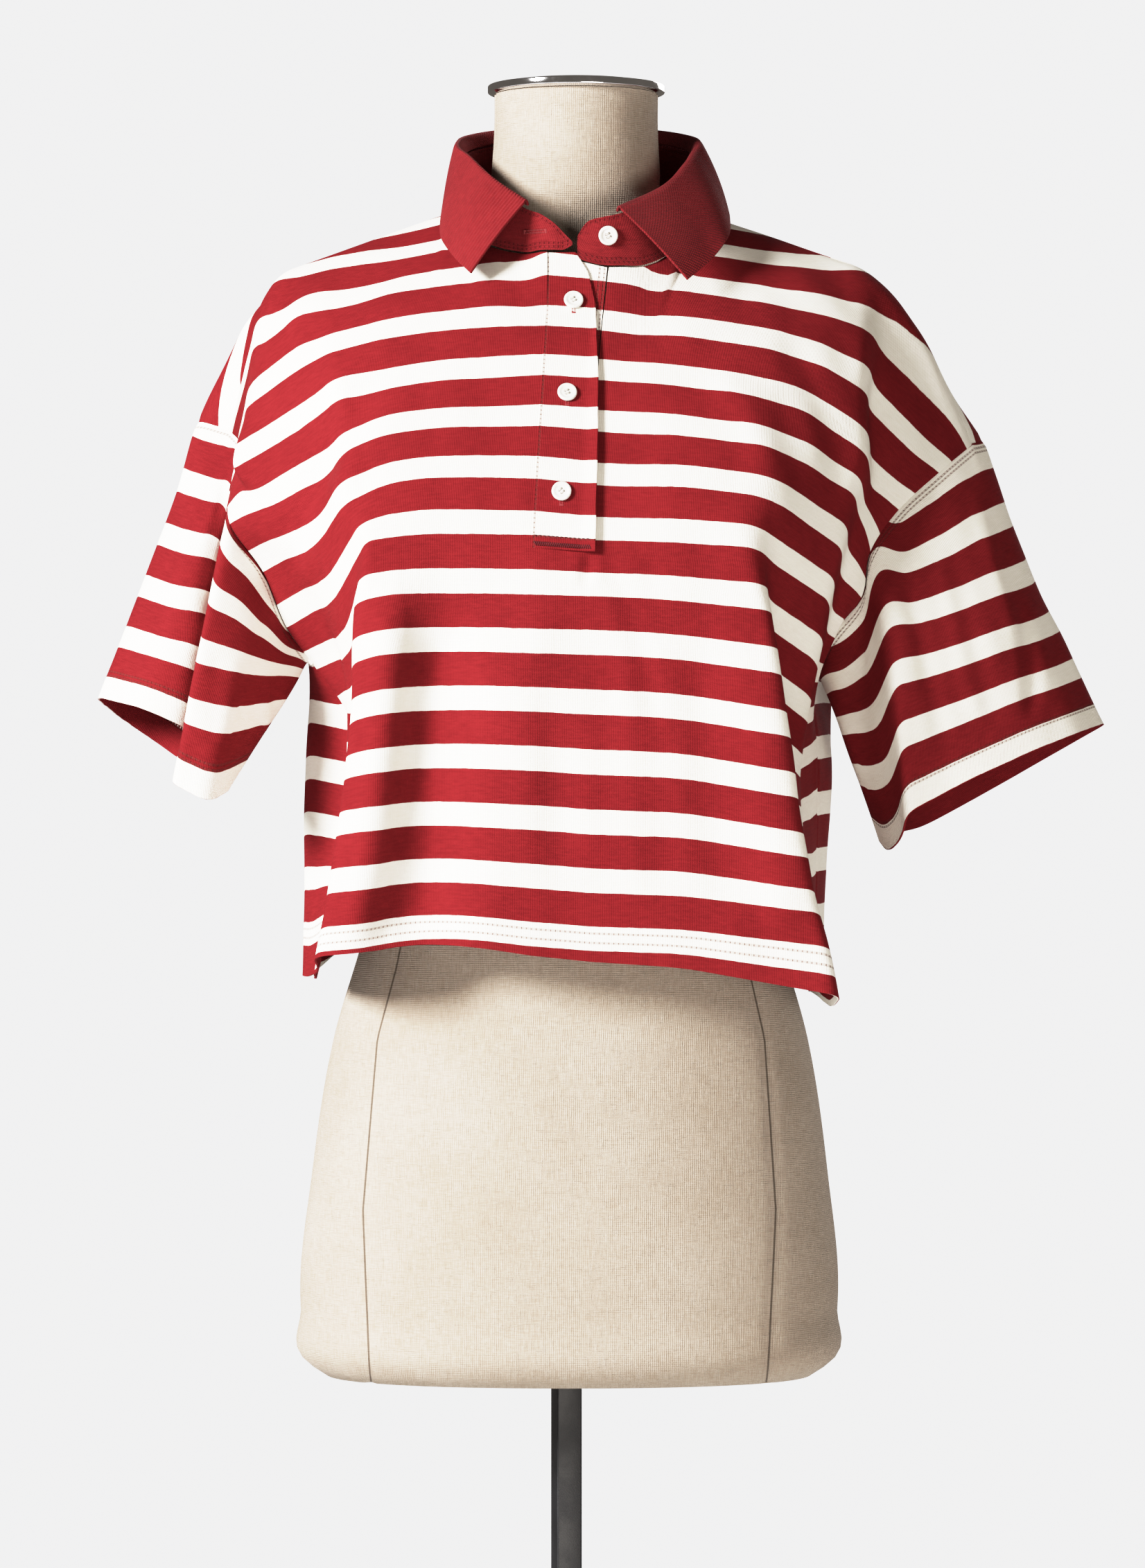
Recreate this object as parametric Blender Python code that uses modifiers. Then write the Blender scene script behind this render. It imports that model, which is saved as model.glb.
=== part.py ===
"""Striped polo shirt worn by a limbless dress form on a pole and a round base.

Sizes are in millimetres and are turned into metres when a mesh is made.
Origin: centre of the base's underside.  +X is the right of the picture,
-Y faces the viewer and +Z is up.  Left and right mean the picture's sides.

Each panel of the shirt is a net.  Its columns are fold lines that run from the
hem to the top, and each fold line is a smooth curve through a few points.  A
point is written as (height on the cloth above the hem, x, y, z).  The net is
rounded across every fold line, then thickened inward.
"""
import math

import bpy
import bmesh
import numpy as np
from mathutils import Matrix, Vector

MM = 0.001
CLOTH = 1.4            # wall of the knitted cloth
LEAF_WALL = 1.8        # wall of the doubled collar leaf
SEAM = 0.5             # pulled back from a flat seam by each piece
SHOULDER_SEAM = 1.1    # pulled back at the shoulder, where the inner faces lean together
ARMHOLE_SEAM = 1.3     # pulled back where a sleeve turns away from the body
SLEEVE_SEAM = {"left": 0.5, "right": 1.3}    # pulled back by the sleeve itself
ARMPIT_SEAM = 4.0      # added to a sleeve's pull at the foot of the armhole
NECK_SEAM = 1.5        # between a panel and the collar stand
UNDERARM = 232         # height on the front's cloth where the side seams end
SOFT_FOLD = 12         # folds rounded by this much or more are soft ones
SLIT_END = 258         # height on the cloth where the placket begins
CHEST = 376            # height on the cloth above which rows spread to the top

# ---------------------------------------------------------------- front folds
# name, rounding, points (cloth height, x, y, z) from the hem up
FRONT = (
    ("left seam", 5, ((3, -165, -42, 908), (80, -156, -40, 983), (154, -150, -38, 1046),
                      (191, -149, -36, 1079), (232, -166, -35, 1113), (265, -183, -42, 1137),
                      (302, -198, -50, 1173), (339, -219, -60, 1204), (376, -220, -34, 1231),
                      (413, -215, -22, 1256), (458, -222, -10, 1268))),
    ("left outer valley", 5, ((3, -164, -66, 909), (80, -153, -64, 986), (154, -146, -62, 1047),
                              (232, -156, -62, 1114), (302, -183, -72, 1180),
                              (339, -209, -74, 1209), (376, -213, -48, 1248),
                              (413, -211, -34, 1276), (480, -203, -8, 1351))),
    ("left outer fold", 7, ((3, -163, -92, 912), (80, -150, -88, 990), (154, -143, -86, 1049),
                            (232, -146, -86, 1118), (302, -169, -90, 1184),
                            (339, -186, -90, 1216), (376, -217, -72, 1238),
                            (413, -207, -58, 1281), (450, -196, -44, 1324),
                            (493, -190, -6, 1372))),
    ("left bust valley", 9, ((3, -159, -116, 916), (80, -145, -110, 993), (154, -137, -108, 1050),
                             (191, -136, -108, 1080), (228, -137, -112, 1122),
                             (265, -146, -118, 1156), (302, -156, -116, 1191),
                             (376, -155, -100, 1273), (450, -175, -56, 1339),
                             (505, -168, -6, 1380))),
    ("left bust ridge", 7, ((3, -161, -140, 925), (80, -147, -143, 1002), (154, -138, -147, 1074),
                            (228, -134, -151, 1150), (265, -127, -152, 1189),
                            (302, -140, -142, 1214), (376, -146, -110, 1281),
                            (450, -160, -64, 1343), (508, -154, -6, 1385))),
    ("left crest", 16, ((3, -128, -147, 928), (80, -120, -151, 1006), (154, -116, -154, 1080),
                        (228, -113, -156, 1155), (302, -115, -146, 1226), (376, -114, -116, 1289),
                        (450, -115, -74, 1352), (530, -118, -6, 1398))),
    ("left trough", 16, ((3, -96, -140, 933), (80, -95, -144, 1008), (154, -94, -149, 1081),
                         (228, -91, -153, 1156), (302, -87, -146, 1230), (376, -87, -116, 1293),
                         (450, -86, -78, 1357), (545, -76, -6, 1413))),
    ("left neck", 16, ((1, -60, -146, 932), (80, -59, -151, 1008), (154, -58, -155, 1082),
                       (228, -56, -156, 1156), (302, -51, -146, 1230), (376, -52, -117, 1295),
                       (450, -52, -80, 1362), (479, -50, -62, 1385))),
    ("placket left", 0, ((0, -22, -147, 926), (80, -22, -152, 1006), (154, -22, -156, 1081),
                         (228, -21, -157, 1155), (258, -21, -154, 1186), (302, -19, -146, 1229),
                         (376, -15, -117, 1297), (450, -12, -82, 1364), (466, -12, -75, 1380))),
    ("placket right", 0, ((-1, 15, -146, 922), (80, 15, -151, 1003), (154, 15, -155, 1079),
                          (228, 15, -156, 1154), (258, 16, -153, 1183), (302, 17, -144, 1225),
                          (376, 20, -114, 1294), (450, 26, -80, 1360), (461, 27, -76, 1370))),
    ("right neck", 16, ((-2, 45, -145, 920), (80, 44, -150, 1002), (154, 45, -154, 1078),
                        (228, 46, -155, 1153), (302, 48, -144, 1224), (376, 48, -114, 1292),
                        (450, 48, -77, 1358), (464, 51, -71, 1371))),
    ("right chest", 20, ((-3, 74, -144, 918), (80, 74, -149, 1001), (154, 74, -153, 1076),
                         (228, 74, -155, 1151), (302, 74, -144, 1224), (376, 75, -114, 1290),
                         (450, 78, -72, 1355), (545, 88, -6, 1412))),
    ("right bust ridge", 8, ((-4, 175, -141, 900), (6, 173, -141, 913), (80, 155, -145, 988),
                             (154, 143, -149, 1065), (228, 131, -152, 1145),
                             (265, 121, -150, 1185), (302, 122, -142, 1219),
                             (376, 126, -112, 1283), (450, 132, -66, 1347),
                             (526, 134, -6, 1397))),
    ("right bust valley", 9, ((-4, 171, -112, 892), (80, 151, -112, 980), (154, 141, -108, 1047),
                              (228, 129, -118, 1135), (265, 133, -130, 1175),
                              (302, 143, -126, 1209), (376, 155, -100, 1275),
                              (450, 164, -60, 1341), (505, 168, -6, 1385))),
    ("right outer fold", 7, ((-4, 169, -88, 893), (80, 157, -86, 976), (154, 152, -82, 1038),
                             (191, 157, -86, 1075), (228, 163, -92, 1113), (265, 171, -95, 1152),
                             (302, 179, -95, 1186), (339, 186, -90, 1222), (376, 195, -82, 1248),
                             (413, 195, -70, 1289), (450, 199, -48, 1331), (490, 196, -6, 1376))),
    ("right outer valley", 5, ((-4, 167, -66, 895), (80, 157, -64, 975), (154, 151, -62, 1044),
                               (228, 161, -66, 1101), (302, 177, -74, 1169),
                               (339, 189, -68, 1210), (376, 198, -56, 1228),
                               (413, 198, -46, 1279), (450, 209, -34, 1315),
                               (478, 216, -6, 1359))),
    ("right arm", 5, ((-4, 164, -46, 897), (80, 161, -44, 974), (154, 159, -44, 1048),
                      (228, 165, -48, 1101), (302, 187, -66, 1161), (339, 195, -62, 1198),
                      (376, 207, -50, 1222), (413, 227, -38, 1251), (450, 245, -20, 1282),
                      (468, 239, -6, 1326))),
    ("right seam", 5, ((-4, 161, -30, 899), (80, 164, -28, 977), (154, 165, -30, 1053),
                       (232, 163, -32, 1107), (265, 171, -52, 1129),
                       (302, 192, -60, 1156), (339, 198, -58, 1186), (376, 217, -46, 1214),
                       (413, 244, -34, 1239), (458, 268, -10, 1259))),
)
SHOULDER_FOLDS_FRONT = (1, 2, 3, 4, 5, 6, 11, 12, 13, 14, 15, 16)
FRONT_INNER = {6: 3, 7: 2, 9: 1, 10: 3, 11: 1}     # columns added between two folds

# ----------------------------------------------------------------- back folds
# the two outer lines follow the front's side seams, then the back of the armhole
BACK_LEFT_ARMHOLE = ((245, -178, 10, 1141), (300, -200, 40, 1188), (360, -224, 45, 1235),
                     (410, -239, 30, 1262), (432, -245, 12, 1274), (458, -222, -10, 1268))
BACK_RIGHT_ARMHOLE = ((255, 176, 10, 1141), (305, 200, 40, 1188), (360, 233, 45, 1225),
                      (410, 260, 30, 1252), (432, 276, 10, 1261), (458, 268, -10, 1259))
SIDE_MATCH_LEFT = ((0, 3), (80, 96), (154, 181), (196, 232))    # back height, front height
SIDE_MATCH_RIGHT = ((-4, -4), (80, 96), (154, 181), (206, 232))
BACK = (
    ("left side", 12, ((0, -172, -4, 909), (80, -171, -2, 985), (154, -171, 0, 1055),
                       (196, -168, 10, 1096), (232, -170, 24, 1128), (270, -182, 44, 1162),
                       (340, -210, 62, 1232), (400, -222, 44, 1285), (450, -213, 14, 1341),
                       (482, -203, -8, 1351))),
    ("left blade side", 14, ((0, -160, 48, 910), (80, -158, 52, 986), (154, -158, 58, 1057),
                             (228, -166, 66, 1130), (300, -172, 74, 1202), (370, -184, 66, 1272),
                             (430, -190, 44, 1330), (493, -190, -6, 1372))),
    ("left blade", 16, ((0, -104, 92, 911), (80, -104, 95, 987), (154, -104, 99, 1060),
                        (228, -106, 104, 1133), (300, -108, 106, 1205), (380, -116, 92, 1284),
                        (450, -122, 60, 1346), (530, -118, -6, 1398))),
    ("left hps", 16, ((0, -58, 88, 911), (80, -60, 92, 988), (154, -62, 98, 1061),
                      (228, -64, 105, 1134), (300, -66, 108, 1206), (380, -70, 98, 1286),
                      (460, -74, 66, 1358), (545, -76, -6, 1413))),
    ("left nape", 12, ((0, -30, 100, 912), (120, -32, 104, 1030), (228, -34, 108, 1135),
                       (320, -36, 108, 1228), (420, -40, 92, 1324), (520, -40, 58, 1428))),
    ("centre back", 12, ((0, 4, 94, 912), (120, 4, 100, 1030), (228, 4, 106, 1136),
                         (320, 5, 108, 1230), (420, 6, 98, 1330), (524, 6, 70, 1430))),
    ("right nape", 12, ((0, 40, 102, 911), (120, 42, 106, 1029), (228, 44, 108, 1134),
                        (320, 46, 108, 1228), (420, 50, 92, 1324), (520, 52, 58, 1428))),
    ("right hps", 16, ((-2, 74, 88, 909), (80, 75, 92, 986), (154, 76, 98, 1060),
                       (228, 78, 105, 1133), (300, 80, 107, 1205), (380, 84, 96, 1284),
                       (460, 88, 64, 1356), (545, 88, -6, 1412))),
    ("right blade", 16, ((-3, 110, 92, 907), (80, 112, 95, 985), (154, 114, 99, 1058),
                         (228, 118, 104, 1131), (300, 124, 104, 1203), (380, 132, 90, 1282),
                         (450, 138, 58, 1344), (526, 134, -6, 1397))),
    ("right blade side", 14, ((-4, 158, 52, 904), (80, 160, 56, 982), (154, 164, 60, 1055),
                              (228, 172, 66, 1128), (300, 182, 72, 1198), (370, 194, 64, 1266),
                              (430, 198, 42, 1326), (490, 196, -6, 1376))),
    ("right yoke side", 12, ((-4, 172, 26, 902), (80, 173, 30, 980), (154, 176, 36, 1052),
                             (206, 180, 40, 1100), (280, 204, 62, 1168), (350, 220, 62, 1236),
                             (420, 222, 36, 1300), (478, 216, -6, 1359))),
    ("right side", 12, ((-4, 168, 0, 900), (80, 171, 2, 978), (154, 176, 4, 1052),
                        (206, 168, 12, 1098), (240, 170, 26, 1128), (275, 184, 44, 1160),
                        (335, 212, 60, 1212), (390, 240, 46, 1254), (430, 248, 24, 1290),
                        (468, 239, -6, 1326))),
)
SHOULDER_FOLDS_BACK = (1, 2, 3, 4, 8, 9, 10, 11, 12)
BACK_INNER = {4: 2, 5: 1, 6: 1, 7: 2}
UNDERARM_BACK = (196, 206)             # left and right
SHOULDER_WAY = (0.85, 0.4)             # depth and rise of a panel as it meets the seam

# -------------------------------------------------------------------- sleeves
# name, rounding, armhole place, cap height, hem point, middle height, middle point
# An armhole place is a front height, or for the back 2 x TIP less the back height.
TIP = 458
LEFT_SLEEVE = (
    ("under", 6, 232, 118, (-219, -30, 1034), 60, (-176, -32, 1098)),
    ("front inner", 8, 265, 152, (-221, -62, 1030), 78, (-198, -58, 1107)),
    ("front", 8, 302, 166, (-231, -84, 1023), 83, (-215, -76, 1116)),
    ("front fold", 5, 345, 168, (-256, -80, 1036), 84, (-239, -82, 1124)),
    ("valley", 6, 376, 180, (-235, 0, 1059), 90, (-223, -5, 1152)),
    ("inner turn", 8, 413, 190, (-251, -42, 1073), 95, (-234, -38, 1168)),
    ("crease", 10, 470, 197, (-278, -40, 1085), 99, (-252, -34, 1173)),
    ("outer", 10, 488, 193, (-312, -5, 1093), 97, (-279, 2, 1182)),
    ("back outer", 12, 526, 185, (-299, 32, 1080), 92, (-267, 40, 1165)),
    ("back", 14, 586, 165, (-270, 45, 1060), 83, (-240, 52, 1142)),
    ("back inner", 12, 666, 140, (-229, 12, 1032), 70, (-199, 12, 1095)),
)
RIGHT_SLEEVE = (
    ("under", 6, 232, 135, (203, -30, 1000), 68, (179, -46, 1062)),
    ("front inner", 8, 285, 165, (209, -52, 990), 82, (193, -60, 1074)),
    ("turn", 8, 320, 165, (217, -70, 999), 82, (202, -72, 1080)),
    ("front ridge", 6, 345, 165, (220, -86, 1016), 82, (212, -86, 1108)),
    ("front", 10, 376, 180, (262, -74, 1038), 90, (244, -70, 1125)),
    ("soft crease", 10, 413, 188, (305, -55, 1057), 94, (281, -52, 1143)),
    ("tip", 10, 458, 202, (337, -32, 1069), 101, (301, -30, 1152)),
    ("outer", 10, 478, 203, (359, 0, 1076), 102, (318, 0, 1161)),
    ("back outer", 12, 516, 190, (330, 38, 1058), 95, (288, 45, 1161)),
    ("back", 14, 586, 170, (284, 52, 1031), 85, (248, 58, 1128)),
    ("back inner", 12, 666, 150, (236, 26, 1006), 75, (204, 16, 1082)),
)

# --------------------------------------------------------------------- collar
# stations from the left end of the opening round the back to the right end:
# foot x, y, z and crest x, y, z of the stand
STAND = (
    (4, -78, 1383, 4, -78, 1386),
    (-2, -77, 1380, -1, -78, 1391),
    (-8, -77, 1380, -8, -79, 1398),
    (-17, -75, 1380, -17, -78, 1404),
    (-28, -72, 1379, -27, -75, 1408),
    (-50, -62, 1385, -46, -60, 1421),
    (-68, -36, 1400, -61, -34, 1436),
    (-76, -6, 1413, -68, -2, 1449),
    (-68, 30, 1422, -61, 30, 1457),
    (-40, 58, 1428, -37, 56, 1464),
    (6, 70, 1430, 7, 66, 1467),
    (52, 58, 1428, 51, 56, 1464),
    (80, 30, 1422, 76, 30, 1457),
    (88, -6, 1412, 83, -2, 1449),
    (82, -36, 1398, 75, -34, 1433),
    (68, -58, 1380, 62, -57, 1417),
    (51, -71, 1371, 47, -71, 1409),
    (36, -76, 1370, 33, -77, 1404),
    (24, -78, 1370, 24, -79, 1402),
    (14, -79, 1372, 14, -79, 1399),
    (9, -79, 1374, 8, -79, 1391),
    (7, -79, 1377, 7, -79, 1388),
)
NECK_AXIS = (6, 0)
FOOT_RISE = 0.9        # the stand's foot clears the neckline's edge by this much more
# leaf: seam x, y, z at the stand's crest, roll x, y, z, lower edge x, y, z
LEAF = (
    (-25, -77, 1409, -27, -82, 1409, -61, -90, 1364),
    (-46, -60, 1422, -49, -63, 1427, -74, -76, 1375),
    (-61, -34, 1437, -64, -36, 1444, -84, -58, 1389),
    (-67, -18, 1444, -71, -19, 1451, -86, -31, 1404),
    (-68, -2, 1450, -72, -2, 1457, -86, -2, 1414),
    (-61, 30, 1458, -66, 32, 1465, -84, 38, 1418),
    (-37, 56, 1465, -41, 60, 1472, -62, 78, 1420),
    (7, 66, 1468, 7, 71, 1475, 8, 98, 1420),
    (51, 56, 1465, 55, 60, 1472, 78, 78, 1420),
    (76, 30, 1458, 81, 32, 1465, 101, 38, 1417),
    (83, -2, 1450, 88, -2, 1457, 107, -2, 1413),
    (80, -18, 1443, 85, -19, 1449, 107, -28, 1404),
    (75, -34, 1434, 79, -37, 1439, 104, -56, 1390),
    (62, -57, 1418, 64, -61, 1422, 94, -71, 1375),
    (33, -78, 1405, 35, -83, 1405, 78, -89, 1360),
)
LEAF_BOW = 4          # outward bow of the leaf between its roll and its edge

# -------------------------------------------------------------------- placket
PLACKET_LIFT = 1.9     # the top strip's free edge stands this far off the slit's plane
PLACKET_EDGE = ((258, 1.06), (330, 1.05), (376, 1.0), (430, 0.84), (452, 0.68), (466, 0.46))
BUTTON_ACROSS = 12.7
BUTTON_THICK = 2.2
BUTTONS = (("button_top", 433, 0.46), ("button_middle", 364, 0.46), ("button_bottom", 295, 0.45))
STAND_BUTTON = (17.7, 0.6)      # station and part of the stand's height
BUTTON_CLEAR = 0.45            # off the strip, which curves a little under the button

# ----------------------------------------------------------------- dress form
# height, half width, front, back, squareness (2 is an ellipse)
FORM = (
    (646, 160, -100, 78, 2.3),
    (654, 172, -110, 88, 2.3),
    (690, 177, -115, 92, 2.3),
    (780, 170, -113, 94, 2.3),
    (869, 156, -106, 90, 2.3),
    (940, 136, -97, 78, 2.3),
    (1010, 124, -88, 70, 2.3),
    (1080, 124, -98, 74, 2.4),
    (1150, 134, -120, 84, 2.5),
    (1200, 138, -132, 92, 2.6),
    (1250, 142, -120, 92, 2.6),
    (1300, 158, -94, 87, 2.6),
    (1335, 180, -66, 58, 2.5),
    (1354, 189, -50, 36, 2.4),
    (1367, 186, -38, 25, 2.3),
    (1377, 163, -36, 19, 2.2),
    (1387, 135, -38, 18, 2.1),
    (1397, 102, -38, 18, 2.0),
    (1406, 76, -42, 25, 2.0),
    (1420, 60, -50, 46, 2.0),
    (1440, 56, -52, 54, 2.0),
    (1470, 54, -52, 54, 2.0),
    (1490, 54, -52, 54, 2.0),
)
FORM_SIDES = 36
FORM_SHIFT = (1.5, 6.5)     # x of the form's axis at the bottom and at the neck
CAP_ACROSS = 117
CAP_RISE = 9
POLE_SIDE = 17
POLE_TURN = 15
BASE_ACROSS = 360
BASE_THICK = 12
CONTACT = 0.3


# ------------------------------------------------------------------ net tools
def curve_through(points, heights, end_way=None):
    """Points of a smooth curve at given cloth heights; points are (height, x, y, z)."""
    table = np.array(points, dtype=float)
    knots, places = table[:, 0], table[:, 1:]
    slopes = np.gradient(places, knots, axis=0)
    if end_way is not None:
        chord = np.linalg.norm(places[-1] - places[-2]) / (knots[-1] - knots[-2])
        slopes[-1] = np.array(end_way) * chord
    at = np.clip(np.atleast_1d(heights), knots[0], knots[-1])
    low = np.clip(np.searchsorted(knots, at, side="right") - 1, 0, len(knots) - 2)
    span = (knots[low + 1] - knots[low])[:, None]
    t = (at - knots[low])[:, None] / span
    return ((2 * t**3 - 3 * t**2 + 1) * places[low] + (t**3 - 2 * t**2 + t) * span * slopes[low]
            + (3 * t**2 - 2 * t**3) * places[low + 1] + (t**3 - t**2) * span * slopes[low + 1])


def smooth_step(value, start, end):
    t = np.clip((value - start) / (end - start), 0, 1)
    return t * t * (3 - 2 * t)


def fold_lines(folds, rows, underarms, shoulder_folds, end_way):
    """Array rows x folds x (cloth height, x, y, z); rows run from 0 to 4."""
    lines = []
    for number, (_, _, points) in enumerate(folds):
        underarm = underarms[0] + (underarms[1] - underarms[0]) * number / (len(folds) - 1)
        heights = np.interp(rows, (0, 1, 2, 3, 4),
                            (points[0][0], underarm, SLIT_END, CHEST, points[-1][0]))
        way = end_way if number in shoulder_folds else None
        places = curve_through(points, heights, way)
        lines.append(np.column_stack((heights, places)))
    return np.stack(lines, axis=1)


def round_across(lines, rounding, inner, arcs, closed=False):
    """Round the net across its fold lines; gives the columns and each fold's column.

    The arc over a fold has arcs[0] columns, or arcs[1] if the fold is a soft one.
    """
    count = lines.shape[1]
    following = np.roll(lines, -1, axis=1)
    length = np.linalg.norm((following - lines)[:, :, 1:], axis=2) + 1e-9
    before = np.roll(length, 1, axis=1)
    trim = np.minimum(rounding, 0.42 * np.minimum(length, before))
    columns, fold_column = [], []
    widest = np.max(np.broadcast_to(rounding, length.shape), axis=0)
    unrounded = widest == 0
    last = count if closed else count - 1
    for number in range(count):
        here = lines[:, number]
        ahead = lines[:, (number + 1) % count] - here
        behind = lines[:, number - 1] - here
        start = here + behind * (trim[:, number] / before[:, number])[:, None]
        end = here + ahead * (trim[:, number] / length[:, number])[:, None]
        sharp = unrounded[number] or (not closed and number in (0, count - 1))
        arc = arcs[0] if widest[number] < SOFT_FOLD else arcs[1]
        fold_column.append(len(columns) + (0 if sharp else arc // 2))
        if sharp:
            columns.append(here)
            start = end = here
        else:
            for step in range(arc):
                s = step / (arc - 1)
                columns.append((1 - s) ** 2 * start + 2 * s * (1 - s) * here + s * s * end)
        if number < last:
            target = (number + 1) % count
            goal = lines[:, target]
            if closed or (target < count - 1 and not unrounded[target]):
                goal = goal + (here - goal) * (trim[:, target] / length[:, number])[:, None]
            added = inner.get(number, 0)
            for step in range(1, added + 1):
                s = step / (added + 1)
                columns.append(end + (goal - end) * s)
    return np.stack(columns, axis=1), fold_column


def pull_back(net, row_pull, neck, shoulder_side):
    """Draw a panel's edges back from its seams; neck holds the neckline's columns."""
    for edge, inside in ((0, 1), (-1, -2)):
        way = net[:, inside] - net[:, edge]
        size = np.linalg.norm(way[:, 1:], axis=1)[:, None]
        net[:, edge] += way * np.minimum(row_pull[:, None] / size, 0.5)
    net[-1, :, 2] += np.where(neck, 0, shoulder_side * SHOULDER_SEAM)
    way = net[-2] - net[-1]
    size = np.linalg.norm(way[:, 1:], axis=1)
    net[-1] += way * np.where(neck, NECK_SEAM / size, 0)[:, None]
    return net


def neck_place(point):
    """Foot of the stand in the same direction from the neck's axis."""
    table = np.array(STAND, dtype=float)[:, :3]
    dense = curve_through(np.column_stack((np.arange(len(table)), table)),
                          np.linspace(0, len(table) - 1, 400))
    turn = np.arctan2(dense[:, 0] - NECK_AXIS[0], -(dense[:, 1] - NECK_AXIS[1]))
    wanted = math.atan2(point[0] - NECK_AXIS[0], -(point[1] - NECK_AXIS[1]))
    off = np.abs((turn - wanted + math.pi) % (2 * math.pi) - math.pi)
    return dense[int(np.argmin(off))]


def meet_neck(net, rows, first, last):
    """Lead the top of the columns from first to last onto the stand's foot."""
    weight = smooth_step(rows, 3.3, 4.0)[:, None]
    for column in range(first, last + 1):
        shift = neck_place(net[-1, column, 1:3]) - net[-1, column, 1:]
        net[:, column, 1:] += weight * shift
    return net


# ----------------------------------------------------------------- mesh tools
def new_material(name, colour, roughness, metallic=0.0):
    material = bpy.data.materials.new(name)
    material.use_nodes = True
    shader = material.node_tree.nodes["Principled BSDF"]
    shader.inputs["Base Color"].default_value = (*colour, 1.0)
    shader.inputs["Roughness"].default_value = roughness
    shader.inputs["Metallic"].default_value = metallic
    return material


def add_object(name, bm, material):
    mesh = bpy.data.meshes.new(name)
    bm.to_mesh(mesh)
    bm.free()
    item = bpy.data.objects.new(name, mesh)
    item.data.materials.append(material)
    COLLECTION.objects.link(item)
    return item


def net_mesh(places, keep, closed=False, flip=False):
    """A bmesh of the net's cells; places is rows x columns x 3 in millimetres."""
    bm = bmesh.new()
    height, width = places.shape[:2]
    grid = [[bm.verts.new(Vector(places[r, c]) * MM) for c in range(width)]
            for r in range(height)]
    for r in range(height - 1):
        for c in range(width if closed else width - 1):
            if not keep(r, c):
                continue
            d = (c + 1) % width
            corners = [grid[r][c], grid[r][d], grid[r + 1][d], grid[r + 1][c]]
            bm.faces.new(corners[::-1] if flip else corners)
    loose = [vert for vert in bm.verts if not vert.link_faces]
    bmesh.ops.delete(bm, geom=loose, context="VERTS")
    return bm


def thicken(item, wall):
    shell = item.modifiers.new("wall", "SOLIDIFY")
    shell.thickness = wall * MM
    shell.offset = -1.0
    shell.use_rim = True
    shell.use_quality_normals = True
    return item


def lathe_mesh(profile, sides):
    """Closed round body from a profile of (radius, height) with points on the axis."""
    bm = bmesh.new()
    verts = [bm.verts.new(Vector((radius, 0, height)) * MM) for radius, height in profile]
    edges = [bm.edges.new(pair) for pair in zip(verts, verts[1:])]
    bmesh.ops.spin(bm, geom=verts + edges, cent=(0, 0, 0), axis=(0, 0, 1),
                   angle=math.tau, steps=sides, use_merge=True)
    bmesh.ops.remove_doubles(bm, verts=bm.verts, dist=1e-6)
    bmesh.ops.recalc_face_normals(bm, faces=bm.faces)
    return bm


# --------------------------------------------------------------------- pieces
def front_net(rows, inner, arcs):
    way = (0, SHOULDER_WAY[0], SHOULDER_WAY[1])
    lines = fold_lines(FRONT, rows, (UNDERARM, UNDERARM), SHOULDER_FOLDS_FRONT, way)
    rounding = np.array([fold[1] for fold in FRONT], dtype=float)[None, :]
    rounding = rounding * (1 - 0.85 * smooth_step(rows, 3.2, 4.0))[:, None]
    net, fold_column = round_across(lines, rounding, inner, arcs)
    net = meet_neck(net, rows, fold_column[6], fold_column[8])
    net = meet_neck(net, rows, fold_column[9], fold_column[11])
    return net, fold_column


def back_folds():
    """The back's fold lines with both seams added from the front's."""
    folds = []
    for fold, match, armhole in ((FRONT[0], SIDE_MATCH_LEFT, BACK_LEFT_ARMHOLE),
                                 (FRONT[-1], SIDE_MATCH_RIGHT, BACK_RIGHT_ARMHOLE)):
        match = np.array(match)
        back_heights = np.linspace(match[0, 0], match[-1, 0], 9)
        front_heights = np.interp(back_heights, match[:, 0], match[:, 1])
        side = np.column_stack((back_heights, curve_through(fold[2], front_heights)))
        folds.append((fold[0], fold[1], tuple(map(tuple, side)) + armhole))
    return (folds[0],) + BACK + (folds[1],)


def back_net(rows, inner, arcs):
    folds = back_folds()
    way = (0, -SHOULDER_WAY[0], SHOULDER_WAY[1])
    lines = fold_lines(folds, rows, UNDERARM_BACK, SHOULDER_FOLDS_BACK, way)
    rounding = np.array([fold[1] for fold in folds], dtype=float)[None, :]
    rounding = rounding * (1 - 0.85 * smooth_step(rows, 3.2, 4.0))[:, None]
    net, fold_column = round_across(lines, rounding, inner, arcs)
    net = meet_neck(net, rows, fold_column[4], fold_column[8])
    return net, fold_column


def armhole_point(place, side):
    """Point on an armhole; up to TIP on the front's edge, beyond it on the back's."""
    front = FRONT[0][2] if side == "left" else FRONT[-1][2]
    if place <= TIP:
        return curve_through(front, [place])[0]
    folds = back_folds()
    edge = folds[0][2] if side == "left" else folds[-1][2]
    return curve_through(edge, [2 * TIP - place])[0]


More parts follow.
